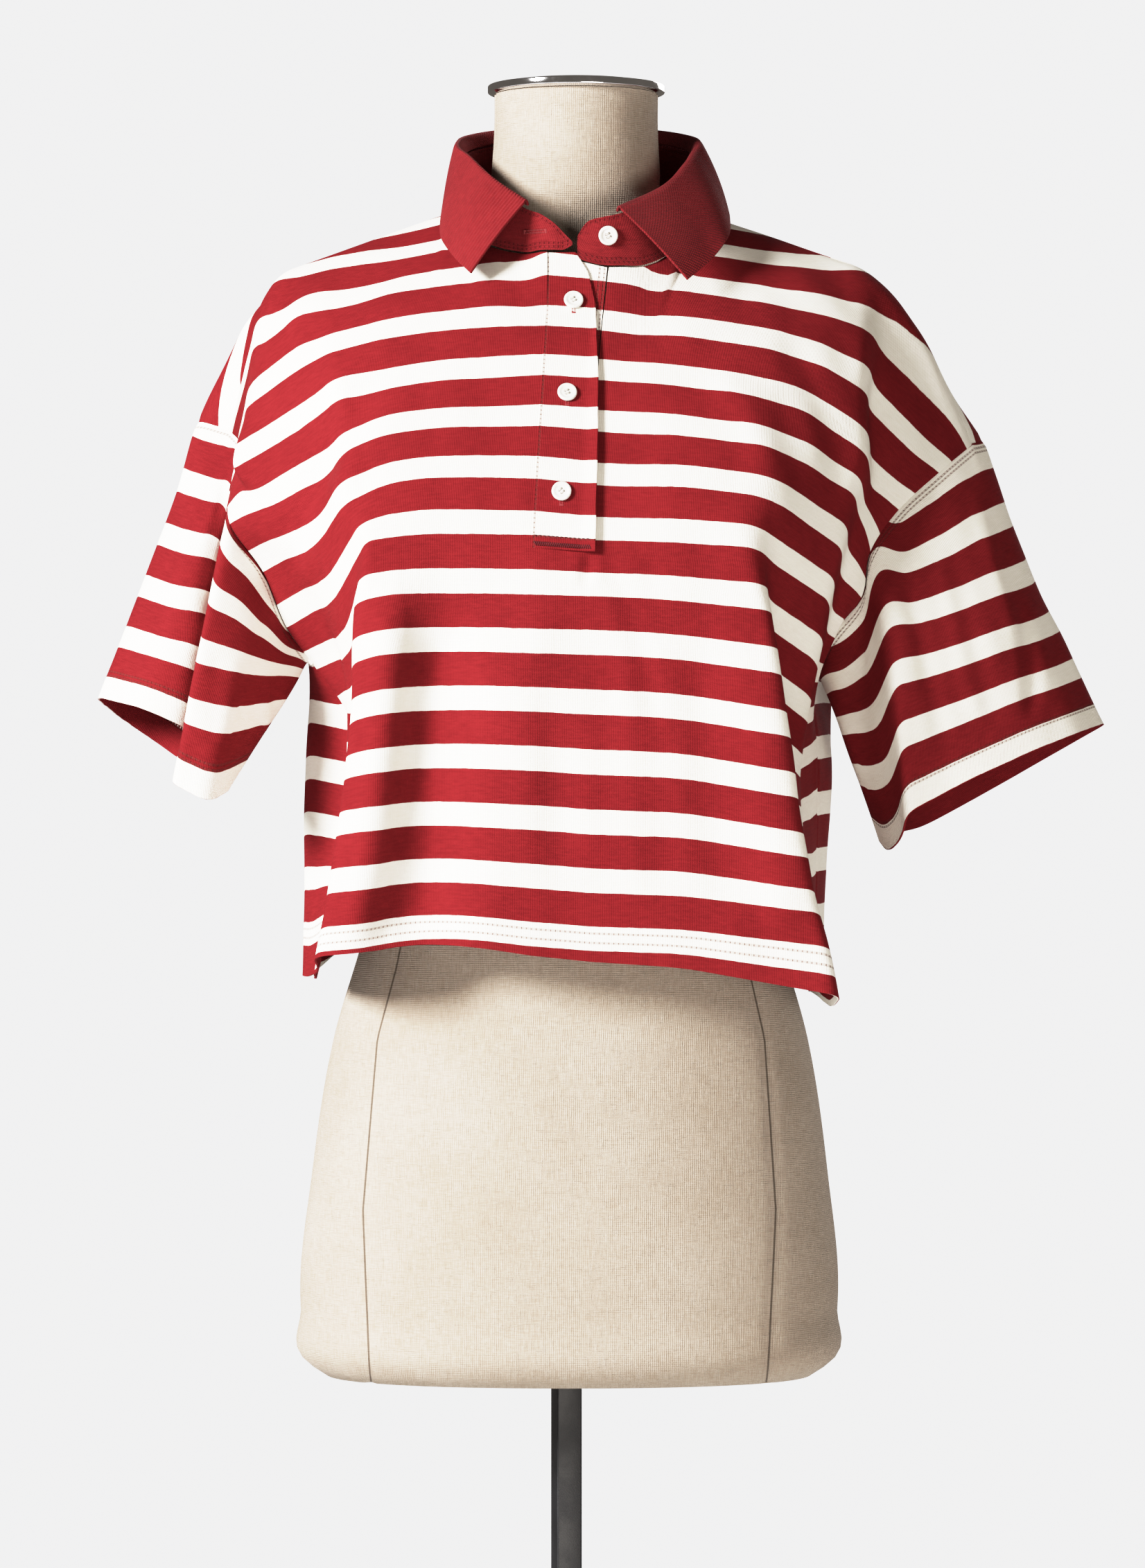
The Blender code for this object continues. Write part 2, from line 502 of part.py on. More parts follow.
def sleeve_net(table, side, rows, inner, arcs):
    """A tube whose rows run from the sleeve's hem (0) to the armhole (1)."""
    lines, places = [], []
    for _, _, place, cap, hem, middle_height, middle in table:
        top = armhole_point(place, side)
        points = ((0, *hem), (middle_height, *middle), (cap, *top))
        heights = np.interp(rows, (0, 1), (0, cap))
        lines.append(np.column_stack((heights, curve_through(points, heights))))
        places.append(place)
    rounding = np.array([line[1] for line in table], dtype=float)[None, :]
    rounding = rounding * (1 - 0.7 * smooth_step(rows, 0.6, 1.0))[:, None]
    net, fold_column = round_across(np.stack(lines, axis=1), rounding, inner, arcs, True)
    whole = 2 * TIP - UNDERARM_BACK[0 if side == "left" else 1] - UNDERARM
    marks = fold_column + [fold_column[0] + net.shape[1]]
    spread = np.interp((np.arange(net.shape[1]) - fold_column[0]) % net.shape[1],
                       [mark - fold_column[0] for mark in marks], places + [UNDERARM + whole])
    weight = smooth_step(rows, 0.55, 1.0)[:, None]
    for column, place in enumerate(spread):
        shift = armhole_point(place, side) - net[-1, column, 1:]
        net[:, column, 1:] += weight * shift
    from_armpit = np.minimum(spread - UNDERARM, UNDERARM + whole - spread)
    pull = SLEEVE_SEAM[side] + ARMPIT_SEAM * np.clip(1 - from_armpit / 110, 0, 1)
    way = net[-2, :, 1:] - net[-1, :, 1:]
    net[-1, :, 1:] += way * (pull / np.linalg.norm(way, axis=1))[:, None]
    return net


def slit_point(height, across, lift):
    """Point over the placket's slit: cloth height, part of its width, lift off it."""
    left = np.array([curve_through(FRONT[8][2], [height + d])[0] for d in (-2, 2)])
    right = np.array([curve_through(FRONT[9][2], [height + d])[0] for d in (-2, 2)])
    middle = (left + (right - left) * across).mean(axis=0)
    upward = (left + (right - left) * across)[1] - (left + (right - left) * across)[0]
    out = np.cross((right - left).mean(axis=0), upward)
    out /= np.linalg.norm(out)
    return middle + out * lift, out


def on_top_strip(height, across, lift):
    """Point off the top strip's face, and the way the face looks."""
    corners = [slit_point(height + dh, across + dx, PLACKET_LIFT * (across + dx))[0]
               for dh, dx in ((0, -0.1), (0, 0.1), (-4, 0), (4, 0))]
    out = np.cross(corners[1] - corners[0], corners[3] - corners[2])
    out /= np.linalg.norm(out)
    return slit_point(height, across, PLACKET_LIFT * across)[0] + out * lift, out


def strip_mesh(edges, lift_at, top_drop):
    """A placket strip between two parts of the slit's width, edges(height) gives both."""
    count, across = 14, 5
    places = np.zeros((count, across, 3))
    for r in range(count):
        for c in range(across):
            t = r / (count - 1)
            top_left, top_right = FRONT[8][2][-1][0], FRONT[9][2][-1][0]
            first, final = edges(SLIT_END + t * (top_left - SLIT_END))
            part = first + (final - first) * c / (across - 1)
            top = top_left + (top_right - top_left) * part - top_drop
            height = SLIT_END + 1 + t * (top - SLIT_END - 1)
            places[r, c] = slit_point(height, part, lift_at(part))[0]
    return net_mesh(places, lambda r, c: True)


def top_strip_edges(height):
    table = np.array(PLACKET_EDGE)
    return 0.012, float(np.interp(height, table[:, 0], table[:, 1]))


def under_strip_edges(height):
    return 0.10, 0.985


def button_mesh():
    """A button about the origin, its face toward +Z."""
    radius, half = BUTTON_ACROSS / 2, BUTTON_THICK / 2
    profile = ((0, -half), (radius - 0.8, -half), (radius, -half + 0.7), (radius, half - 0.7),
               (radius - 0.9, half), (radius - 2.2, half - 0.5), (0, half - 0.6))
    return lathe_mesh(profile, 28)


def form_ring(height, half_width, front, back, power):
    span = FORM[-1][0] - FORM[0][0]
    axis_x = FORM_SHIFT[0] + (FORM_SHIFT[1] - FORM_SHIFT[0]) * (height - FORM[0][0]) / span
    ring = []
    for number in range(FORM_SIDES):
        angle = math.tau * number / FORM_SIDES
        cosine, sine = math.cos(angle), math.sin(angle)
        x = half_width * math.copysign(abs(cosine) ** (2 / power), cosine)
        depth = back if sine > 0 else -front
        y = depth * math.copysign(abs(sine) ** (2 / power), sine)
        ring.append((axis_x + x, y, height))
    return ring


def loft_mesh(rings):
    bm = bmesh.new()
    loops = [[bm.verts.new(Vector(point) * MM) for point in ring] for ring in rings]
    count = len(rings[0])
    for low, high in zip(loops, loops[1:]):
        for i in range(count):
            j = (i + 1) % count
            bm.faces.new((low[i], low[j], high[j], high[i]))
    bm.faces.new(loops[0][::-1])
    bm.faces.new(loops[-1])
    bmesh.ops.recalc_face_normals(bm, faces=bm.faces)
    return bm


def leaf_mesh():
    """The collar leaf: from the stand's crest over the roll to its lower edge."""
    table = np.array(LEAF, dtype=float)
    stations = np.linspace(0, len(table) - 1, 31)
    smooth = curve_through(np.column_stack((np.arange(len(table)), table)), stations)
    seam, roll, edge = smooth[:, :3], smooth[:, 3:6], smooth[:, 6:]
    outward = roll - np.array([NECK_AXIS[0], NECK_AXIS[1], 0])
    outward[:, 2] = 0
    outward /= np.linalg.norm(outward, axis=1)[:, None]
    rows = []
    for step in (0.0, 0.5, 1.0):
        rise = roll + np.array([0, 0, 0.8])
        rows.append(((1 - step) ** 2 * seam + 2 * step * (1 - step) * (seam * 0.5 + rise * 0.5
                    + np.array([0, 0, 4])) + step * step * rise))
    for step in (0.12, 0.3, 0.5, 0.75, 1.0):
        bow = LEAF_BOW * 4 * step * (1 - step)
        rows.append(roll + (edge - roll) * step + outward * bow)
    return net_mesh(np.stack(rows), lambda r, c: True, flip=True)


def stand_edges(stations):
    """The stand's foot and crest at places counted along its stations."""
    table = np.array(STAND, dtype=float)
    smooth = curve_through(np.column_stack((np.arange(len(table)), table)), stations)
    return smooth[:, :3] + np.array((0, 0, FOOT_RISE)), smooth[:, 3:]


def stand_point(station, part):
    """Point on the stand and the way its face looks there."""
    foot, crest = stand_edges([station - 0.2, station, station + 0.2])
    middle = foot + (crest - foot) * part
    out = np.cross(middle[0] - middle[2], crest[1] - foot[1])
    return middle[1], out / np.linalg.norm(out)


def stand_mesh():
    stations = np.unique(np.concatenate((np.arange(len(STAND)), np.linspace(4, 16, 37))))
    foot, crest = stand_edges(stations)
    rows = [foot + (crest - foot) * step for step in (0.0, 0.5, 1.0)]
    return net_mesh(np.stack(rows), lambda r, c: True, flip=True)


def clear_scene():
    for item in list(bpy.data.objects):
        bpy.data.objects.remove(item, do_unlink=True)
    for store in (bpy.data.meshes, bpy.data.materials, bpy.data.collections):
        for block in list(store):
            store.remove(block)


clear_scene()
COLLECTION = bpy.data.collections.new("polo_shirt_on_form")
bpy.context.scene.collection.children.link(COLLECTION)

STRIPED = new_material("striped_knit", (0.36, 0.03, 0.04), 0.9)
RIB = new_material("rib_knit", (0.33, 0.025, 0.035), 0.9)
PEARL = new_material("pearl_button", (0.90, 0.88, 0.84), 0.25)
LINEN = new_material("linen", (0.66, 0.58, 0.49), 0.92)
CHROME = new_material("chrome", (0.75, 0.75, 0.77), 0.12, 1.0)
CHARCOAL = new_material("charcoal_paint", (0.045, 0.045, 0.05), 0.45)

# body
ROWS = np.concatenate((np.linspace(0, 1, 6), (2,), np.linspace(2, 3, 6)[1:],
                       np.linspace(3, 4, 8)[1:]))
slit_row = 6
front_places, folds_at = front_net(ROWS, FRONT_INNER, (3, 2))
columns = np.arange(front_places.shape[1])
seams = np.where(ROWS < 0.9, SEAM, ARMHOLE_SEAM)
neck = (columns > folds_at[6]) & (columns < folds_at[11])
front_places = pull_back(front_places, seams, neck, -1)
slit_from, slit_to = folds_at[8], folds_at[9]
front = add_object("front", net_mesh(front_places[:, :, 1:],
                                     lambda r, c: r < slit_row or not slit_from <= c < slit_to),
                   STRIPED)
thicken(front, CLOTH)

BACK_ROWS = np.concatenate((np.linspace(0, 1, 6), (1.5, 2), np.linspace(2, 3, 5)[1:],
                            np.linspace(3, 4, 8)[1:]))
back_places, folds_at = back_net(BACK_ROWS, BACK_INNER, (2, 2))
columns = np.arange(back_places.shape[1])
seams = np.where(BACK_ROWS < 0.9, SEAM, ARMHOLE_SEAM)
neck = (columns >= folds_at[4]) & (columns < folds_at[8])
back_places = pull_back(back_places, seams, neck, 1)
back = add_object("back", net_mesh(back_places[:, :, 1:], lambda r, c: True, flip=True), STRIPED)
thicken(back, CLOTH)

# sleeves
SLEEVE_ROWS = np.array((0, 0.2, 0.4, 0.6, 0.75, 0.88, 1.0))
for name, table, side in (("sleeve_left", LEFT_SLEEVE, "left"),
                          ("sleeve_right", RIGHT_SLEEVE, "right")):
    sleeve = sleeve_net(table, side, SLEEVE_ROWS, {}, (3, 3))
    thicken(add_object(name, net_mesh(sleeve[:, :, 1:], lambda r, c: True, closed=True,
                                      flip=side == "left"), STRIPED), CLOTH)

# collar
thicken(add_object("collar_stand", stand_mesh(), RIB), CLOTH)
thicken(add_object("collar_leaf", leaf_mesh(), RIB), LEAF_WALL)

# placket
top_strip = strip_mesh(top_strip_edges, lambda part: PLACKET_LIFT * part, NECK_SEAM)
thicken(add_object("placket_top", top_strip, STRIPED), 1.3)
under_strip = strip_mesh(under_strip_edges, lambda part: PLACKET_LIFT * part - 1.7, NECK_SEAM)
thicken(add_object("placket_under", under_strip, STRIPED), 1.2)


# buttons
def add_button(name, place, out):
    bm = button_mesh()
    turn = Vector((0, 0, 1)).rotation_difference(Vector(out)).to_matrix().to_4x4()
    bmesh.ops.transform(bm, matrix=Matrix.Translation(Vector(place) * MM) @ turn,
                        verts=bm.verts)
    add_object(name, bm, PEARL)


for name, height, across in BUTTONS:
    add_button(name, *on_top_strip(height, across, BUTTON_CLEAR + BUTTON_THICK / 2))
place, out = stand_point(*STAND_BUTTON)
add_button("button_stand", place + out * (BUTTON_CLEAR + BUTTON_THICK / 2), out)

# dress form, cap, pole and base
add_object("dress_form", loft_mesh([form_ring(*ring) for ring in FORM]), LINEN)

cap_foot = FORM[-1][0] + CONTACT
cap_radius = CAP_ACROSS / 2
cap = lathe_mesh(((0, cap_foot), (cap_radius - 2, cap_foot), (cap_radius, cap_foot + 1.5),
                  (cap_radius, cap_foot + 5.5), (cap_radius - 1.2, cap_foot + 6.7),
                  (cap_radius - 12, cap_foot + CAP_RISE - 0.8), (0, cap_foot + CAP_RISE)), 48)
bmesh.ops.translate(cap, vec=Vector((FORM_SHIFT[1], 1, 0)) * MM, verts=cap.verts)
add_object("neck_cap", cap, CHROME)

pole = bmesh.new()
pole_foot, pole_head = BASE_THICK + CONTACT, FORM[0][0] - CONTACT
bmesh.ops.create_cube(pole, size=1.0)
bmesh.ops.scale(pole, vec=Vector((POLE_SIDE, POLE_SIDE, pole_head - pole_foot)) * MM,
                verts=pole.verts)
bmesh.ops.rotate(pole, cent=(0, 0, 0), matrix=Matrix.Rotation(math.radians(POLE_TURN), 3, "Z"),
                 verts=pole.verts)
bmesh.ops.translate(pole, vec=Vector((0, 0, (pole_foot + pole_head) / 2)) * MM, verts=pole.verts)
add_object("pole", pole, CHARCOAL)

base_radius = BASE_ACROSS / 2
base = lathe_mesh(((0, 0), (base_radius - 1, 0), (base_radius, 1), (base_radius, BASE_THICK - 2),
                   (base_radius - 2, BASE_THICK), (0, BASE_THICK)), 64)
add_object("base_plate", base, CHARCOAL)
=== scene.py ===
"""Looks of the striped polo shirt on its dress form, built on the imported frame.

Sizes are in millimetres and are turned into metres when a mesh is made.
Origin: centre of the base's underside.  +X is the right of the picture,
-Y faces the camera and +Z is up.  Left and right mean the picture's sides.

The shirt's panels are the nets of the solid model, drawn finer.  A column of a
net is a fold line from the hem to the top; a point on it is (height on the
cloth above the hem, x, y, z).  The height is kept as the UV map's second
number, so the stripes and the stitching follow the cloth.
"""
import math

import bpy
import bmesh
import numpy as np
from mathutils import Matrix, Vector, noise


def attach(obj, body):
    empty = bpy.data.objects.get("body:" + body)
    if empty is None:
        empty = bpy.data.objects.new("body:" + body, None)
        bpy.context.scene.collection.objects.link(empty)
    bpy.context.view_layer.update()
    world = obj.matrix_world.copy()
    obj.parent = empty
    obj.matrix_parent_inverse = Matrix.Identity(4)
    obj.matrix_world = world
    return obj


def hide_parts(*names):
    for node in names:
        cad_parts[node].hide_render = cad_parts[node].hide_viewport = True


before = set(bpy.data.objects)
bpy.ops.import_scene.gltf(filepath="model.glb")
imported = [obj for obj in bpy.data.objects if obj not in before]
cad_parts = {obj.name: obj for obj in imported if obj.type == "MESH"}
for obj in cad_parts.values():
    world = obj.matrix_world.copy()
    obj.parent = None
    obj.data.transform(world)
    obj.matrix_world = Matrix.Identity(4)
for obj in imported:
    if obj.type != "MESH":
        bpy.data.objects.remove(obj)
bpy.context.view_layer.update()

MM = 0.001
CLOTH = 1.2            # wall of the knitted cloth
LEAF_WALL = 1.7        # wall of the doubled collar leaf
CELL = 3.6             # widest cell of a panel
TUCKED = 0.9           # a joined edge runs on this far under the other panel
UNDERARM = 232         # height on the front's cloth where the side seams end
SLIT_END = 258         # height on the cloth where the placket begins
CHEST = 376            # height on the cloth above which rows spread to the top

# the photograph's frame
PICTURE_WIDE = 1652
PICTURE_HIGH = 2263
PIXELS_A_TURN = 8300   # the lens: width in pixels of what is as wide as it is far
CAMERA = (4, -3800, 1035)

# ---------------------------------------------------------------- front folds
# name, rounding, points (cloth height, x, y, z) from the hem up
FRONT = (
    ("left seam", 5, (
        (3, -165, -42, 908), (80, -149, -40, 983), (154, -140, -38, 1046), (191, -143, -36, 1079),
        (232, -166, -35, 1113), (265, -183, -42, 1137), (302, -198, -50, 1173),
        (339, -219, -60, 1204), (376, -220, -34, 1231), (413, -215, -22, 1256),
        (458, -222, -10, 1268))),
    ("left outer valley", 5, (
        (3, -163, -66, 909), (80, -147, -64, 986), (154, -137, -62, 1047), (206, -142, -62, 1096),
        (232, -148, -62, 1120), (256, -158, -66, 1140), (302, -183, -72, 1180),
        (339, -209, -74, 1209), (376, -213, -48, 1248), (413, -211, -34, 1276),
        (480, -203, -8, 1351))),
    ("left outer fold", 7, (
        (3, -163, -92, 912), (80, -150, -88, 990), (154, -143, -86, 1049), (232, -146, -86, 1118),
        (302, -169, -90, 1184), (339, -186, -90, 1216), (376, -217, -72, 1238),
        (413, -207, -58, 1281), (450, -196, -44, 1324), (493, -190, -6, 1372))),
    ("left bust valley", 9, (
        (3, -159, -116, 916), (80, -145, -110, 993), (154, -137, -108, 1050),
        (191, -136, -108, 1080), (228, -137, -112, 1122), (265, -146, -118, 1156),
        (302, -156, -116, 1191), (376, -155, -100, 1273), (450, -175, -56, 1339),
        (505, -168, -6, 1380))),
    ("left bust ridge", 7, (
        (3, -161, -140, 925), (80, -147, -143, 1002), (154, -138, -147, 1074),
        (228, -134, -151, 1150), (265, -127, -152, 1189), (302, -140, -142, 1214),
        (376, -146, -110, 1281), (450, -160, -64, 1343), (508, -154, -6, 1385))),
    ("left crest", 16, (
        (3, -128, -147, 928), (80, -120, -151, 1006), (154, -116, -154, 1080),
        (228, -113, -156, 1155), (302, -115, -146, 1226), (376, -114, -116, 1289),
        (450, -115, -74, 1352), (530, -118, -6, 1398))),
    ("left trough", 16, (
        (3, -96, -140, 933), (80, -95, -144, 1008), (154, -94, -149, 1081), (228, -91, -153, 1156),
        (302, -87, -146, 1230), (376, -87, -116, 1293), (450, -86, -78, 1357),
        (545, -76, -6, 1413))),
    ("left neck", 16, (
        (1, -60, -146, 932), (80, -59, -151, 1008), (154, -58, -155, 1082), (228, -56, -156, 1156),
        (302, -51, -146, 1230), (376, -52, -117, 1295), (450, -52, -80, 1362),
        (479, -50, -62, 1385))),
    ("placket left", 0, (
        (0, -22, -147, 926), (80, -22, -152, 1006), (154, -22, -156, 1081), (228, -21, -157, 1155),
        (258, -21, -154, 1186), (302, -19, -146, 1229), (376, -15, -117, 1297),
        (450, -12, -82, 1364), (466, -12, -75, 1380))),
    ("placket right", 0, (
        (-1, 15, -146, 922), (80, 15, -151, 1003), (154, 15, -155, 1079), (228, 15, -156, 1154),
        (258, 16, -153, 1183), (302, 17, -144, 1225), (376, 20, -114, 1294), (450, 26, -80, 1360),
        (461, 27, -76, 1370))),
    ("right neck", 16, (
        (-2, 45, -145, 920), (80, 44, -150, 1002), (154, 45, -154, 1078), (228, 46, -155, 1153),
        (302, 48, -144, 1224), (376, 48, -114, 1292), (450, 48, -77, 1358), (464, 51, -71, 1371))),
    ("right chest", 20, (
        (-3, 74, -144, 918), (80, 74, -149, 1001), (154, 74, -153, 1076), (228, 74, -155, 1151),
        (302, 74, -144, 1224), (376, 75, -114, 1290), (450, 78, -72, 1355), (545, 88, -6, 1412))),
    ("right bust ridge", 8, (
        (-4, 175, -141, 900), (6, 173, -141, 913), (80, 155, -145, 988), (154, 143, -149, 1065),
        (228, 131, -152, 1145), (265, 121, -150, 1185), (302, 122, -142, 1219),
        (376, 126, -112, 1283), (450, 132, -66, 1347), (526, 134, -6, 1397))),
    ("right bust valley", 9, (
        (-4, 171, -112, 892), (80, 151, -112, 980), (154, 141, -108, 1047), (228, 129, -118, 1135),
        (265, 133, -130, 1175), (302, 143, -126, 1209), (376, 155, -100, 1275),
        (450, 164, -60, 1341), (505, 168, -6, 1385))),
    ("right outer fold", 7, (
        (-4, 169, -88, 893), (80, 157, -86, 976), (154, 152, -82, 1038), (191, 157, -86, 1075),
        (228, 163, -92, 1113), (265, 171, -95, 1152), (302, 179, -95, 1186), (339, 186, -90, 1222),
        (376, 195, -82, 1248), (413, 195, -70, 1289), (450, 199, -48, 1331),
        (490, 196, -6, 1376))),
    ("right outer valley", 5, (
        (-4, 167, -66, 895), (80, 157, -64, 975), (154, 151, -62, 1044), (228, 161, -66, 1101),
        (302, 177, -74, 1169), (339, 189, -68, 1210), (376, 198, -56, 1228), (413, 198, -46, 1279),
        (450, 209, -34, 1315), (478, 216, -6, 1359))),
    ("right arm", 5, (
        (-4, 164, -46, 897), (80, 161, -44, 974), (154, 159, -44, 1048), (228, 165, -48, 1101),
        (302, 187, -66, 1161), (339, 195, -62, 1198), (376, 207, -50, 1222), (413, 227, -38, 1251),
        (450, 245, -20, 1282), (468, 239, -6, 1326))),
    ("right seam", 5, (
        (-4, 161, -30, 899), (80, 164, -28, 977), (154, 165, -30, 1053), (232, 163, -32, 1107),
        (265, 171, -52, 1129), (302, 192, -60, 1156), (339, 198, -58, 1186), (376, 217, -46, 1214),
        (413, 244, -34, 1239), (458, 268, -10, 1259))),
)
SHOULDER_FOLDS_FRONT = (1, 2, 3, 4, 5, 6, 11, 12, 13, 14, 15, 16)

# ----------------------------------------------------------------- back folds
# the two outer lines follow the front's side seams, then the back of the armhole
BACK_LEFT_ARMHOLE = ((245, -178, 10, 1141), (300, -200, 40, 1188), (360, -224, 45, 1235),
                     (410, -239, 30, 1262), (432, -245, 12, 1274), (458, -222, -10, 1268))
BACK_RIGHT_ARMHOLE = ((255, 176, 10, 1141), (305, 200, 40, 1188), (360, 233, 45, 1225),
                      (410, 260, 30, 1252), (432, 276, 10, 1261), (458, 268, -10, 1259))
SIDE_MATCH_LEFT = ((0, 3), (80, 96), (154, 181), (196, 232))    # back height, front height
SIDE_MATCH_RIGHT = ((-4, -4), (80, 96), (154, 181), (206, 232))
BACK = (
    ("left side", 12, (
        (0, -177, -4, 909), (80, -177, -2, 985), (154, -176, 0, 1055), (196, -171, 10, 1096),
        (232, -170, 24, 1128), (270, -182, 44, 1162), (340, -210, 62, 1232), (400, -222, 44, 1285),
        (450, -213, 14, 1341), (482, -203, -8, 1351))),
    ("left blade side", 14, (
        (0, -160, 48, 910), (80, -158, 52, 986), (154, -158, 58, 1057), (228, -166, 66, 1130),
        (300, -172, 74, 1202), (370, -184, 66, 1272), (430, -190, 44, 1330),
        (493, -190, -6, 1372))),
    ("left blade", 16, (
        (0, -104, 92, 911), (80, -104, 95, 987), (154, -104, 99, 1060), (228, -106, 104, 1133),
        (300, -108, 106, 1205), (380, -116, 92, 1284), (450, -122, 60, 1346),
        (530, -118, -6, 1398))),
    ("left hps", 16, (
        (0, -58, 88, 911), (80, -60, 92, 988), (154, -62, 98, 1061), (228, -64, 105, 1134),
        (300, -66, 108, 1206), (380, -70, 98, 1286), (460, -74, 66, 1358), (545, -76, -6, 1413))),
    ("left nape", 12, (
        (0, -30, 100, 912), (120, -32, 104, 1030), (228, -34, 108, 1135), (320, -36, 108, 1228),
        (420, -40, 92, 1324), (520, -40, 58, 1428))),
    ("centre back", 12, (
        (0, 4, 94, 912), (120, 4, 100, 1030), (228, 4, 106, 1136), (320, 5, 108, 1230),
        (420, 6, 98, 1330), (524, 6, 70, 1430))),
    ("right nape", 12, (
        (0, 40, 102, 911), (120, 42, 106, 1029), (228, 44, 108, 1134), (320, 46, 108, 1228),
        (420, 50, 92, 1324), (520, 52, 58, 1428))),
    ("right hps", 16, (
        (-2, 74, 88, 909), (80, 75, 92, 986), (154, 76, 98, 1060), (228, 78, 105, 1133),
        (300, 80, 107, 1205), (380, 84, 96, 1284), (460, 88, 64, 1356), (545, 88, -6, 1412))),
    ("right blade", 16, (
        (-3, 110, 92, 907), (80, 112, 95, 985), (154, 114, 99, 1058), (228, 118, 104, 1131),
        (300, 124, 104, 1203), (380, 132, 90, 1282), (450, 138, 58, 1344), (526, 134, -6, 1397))),
    ("right blade side", 14, (
        (-4, 158, 52, 904), (80, 160, 56, 982), (154, 164, 60, 1055), (228, 172, 66, 1128),
        (300, 182, 72, 1198), (370, 194, 64, 1266), (430, 198, 42, 1326), (490, 196, -6, 1376))),
    ("right yoke side", 12, (
        (-4, 172, 26, 902), (80, 173, 30, 980), (154, 176, 36, 1052), (206, 180, 40, 1100),
        (280, 204, 62, 1168), (350, 220, 62, 1236), (420, 222, 36, 1300), (478, 216, -6, 1359))),
    ("right side", 12, (
        (-4, 168, 0, 900), (80, 171, 2, 978), (154, 176, 4, 1052), (206, 168, 12, 1098),
        (240, 170, 26, 1128), (275, 184, 44, 1160), (335, 212, 60, 1212), (390, 240, 46, 1254),
        (430, 248, 24, 1290), (468, 239, -6, 1326))),
)
SHOULDER_FOLDS_BACK = (1, 2, 3, 4, 8, 9, 10, 11, 12)
UNDERARM_BACK = (196, 206)             # left and right
SHOULDER_WAY = (0.85, 0.4)             # depth and rise of a panel as it meets the seam

# -------------------------------------------------------------------- sleeves
# name, rounding, armhole place, cap height, hem point, middle height, middle point
# An armhole place is a front height, or for the back 2 x TIP less the back height.
TIP = 458
SLEEVE_ROWS = 62
LEFT_SLEEVE = (
    ("under", 6, 232, 118, (-219, -30, 1034), 60, (-176, -32, 1098)),
    ("front inner", 8, 265, 152, (-221, -62, 1030), 78, (-198, -58, 1107)),
    ("front", 8, 302, 166, (-231, -84, 1023), 83, (-215, -76, 1116)),
    ("front fold", 5, 345, 168, (-256, -80, 1036), 84, (-239, -82, 1124)),
    ("valley", 6, 376, 180, (-235, 0, 1059), 90, (-223, -5, 1152)),
    ("inner turn", 8, 413, 190, (-251, -42, 1073), 95, (-234, -38, 1168)),
    ("crease", 10, 470, 197, (-278, -40, 1085), 99, (-252, -34, 1173)),
    ("outer", 10, 488, 193, (-312, -5, 1093), 97, (-279, 2, 1182)),
    ("back outer", 12, 526, 185, (-299, 32, 1080), 92, (-267, 40, 1165)),
    ("back", 14, 586, 165, (-270, 45, 1060), 83, (-240, 52, 1142)),
    ("back inner", 12, 666, 140, (-229, 12, 1032), 70, (-199, 12, 1095)),
)
RIGHT_SLEEVE = (
    ("under", 6, 232, 135, (203, -30, 1000), 68, (179, -46, 1062)),
    ("front inner", 8, 285, 165, (209, -52, 990), 82, (193, -60, 1074)),
    ("turn", 8, 320, 165, (217, -70, 999), 82, (202, -72, 1080)),
    ("front ridge", 6, 345, 165, (220, -86, 1016), 82, (212, -86, 1108)),
    ("front", 10, 376, 197, (262, -74, 1038), 94, (244, -70, 1125)),
    ("soft crease", 10, 413, 199, (305, -55, 1057), 97, (281, -52, 1143)),
    ("tip", 10, 458, 202, (337, -32, 1069), 101, (301, -30, 1152)),
    ("outer", 10, 478, 203, (359, 0, 1076), 102, (318, 0, 1161)),
    ("back outer", 12, 516, 190, (330, 38, 1058), 95, (288, 45, 1161)),
    ("back", 14, 586, 170, (284, 52, 1031), 85, (248, 58, 1128)),
    ("back inner", 12, 666, 150, (236, 26, 1006), 75, (204, 16, 1082)),
)

# --------------------------------------------------------------------- collar
# stations from the left end of the opening round the back to the right end:
# foot x, y, z and crest x, y, z of the stand
STAND = (
    (4, -78, 1383, 4, -78, 1386),
    (-2, -77, 1380, -1, -78, 1391),
    (-8, -77, 1380, -8, -79, 1398),
    (-17, -75, 1380, -17, -78, 1404),
    (-28, -72, 1379, -27, -75, 1408),
    (-50, -62, 1385, -46, -60, 1421),
    (-68, -36, 1400, -61, -34, 1436),
    (-76, -6, 1413, -68, -2, 1449),
    (-68, 30, 1422, -61, 30, 1457),
    (-40, 58, 1428, -37, 56, 1464),
    (6, 70, 1430, 7, 66, 1467),
    (52, 58, 1428, 51, 56, 1464),
    (80, 30, 1422, 76, 30, 1457),
    (88, -6, 1412, 83, -2, 1449),
    (82, -36, 1398, 75, -34, 1433),
    (68, -58, 1380, 62, -57, 1417),
    (51, -71, 1371, 47, -71, 1409),
    (36, -76, 1370, 33, -77, 1404),
    (24, -78, 1370, 24, -79, 1402),
    (14, -79, 1372, 14, -79, 1399),
    (9, -79, 1374, 8, -79, 1391),
    (7, -79, 1377, 7, -79, 1388),
)
NECK_AXIS = (6, 0)
FOOT_RISE = 0.9        # the stand's foot clears the neckline's edge by this much more
STAND_COLUMNS, STAND_ROWS = 211, 14
LEAF_COLUMNS = 190
LEAF_ROWS = (9, 32)    # over the roll and down to the edge
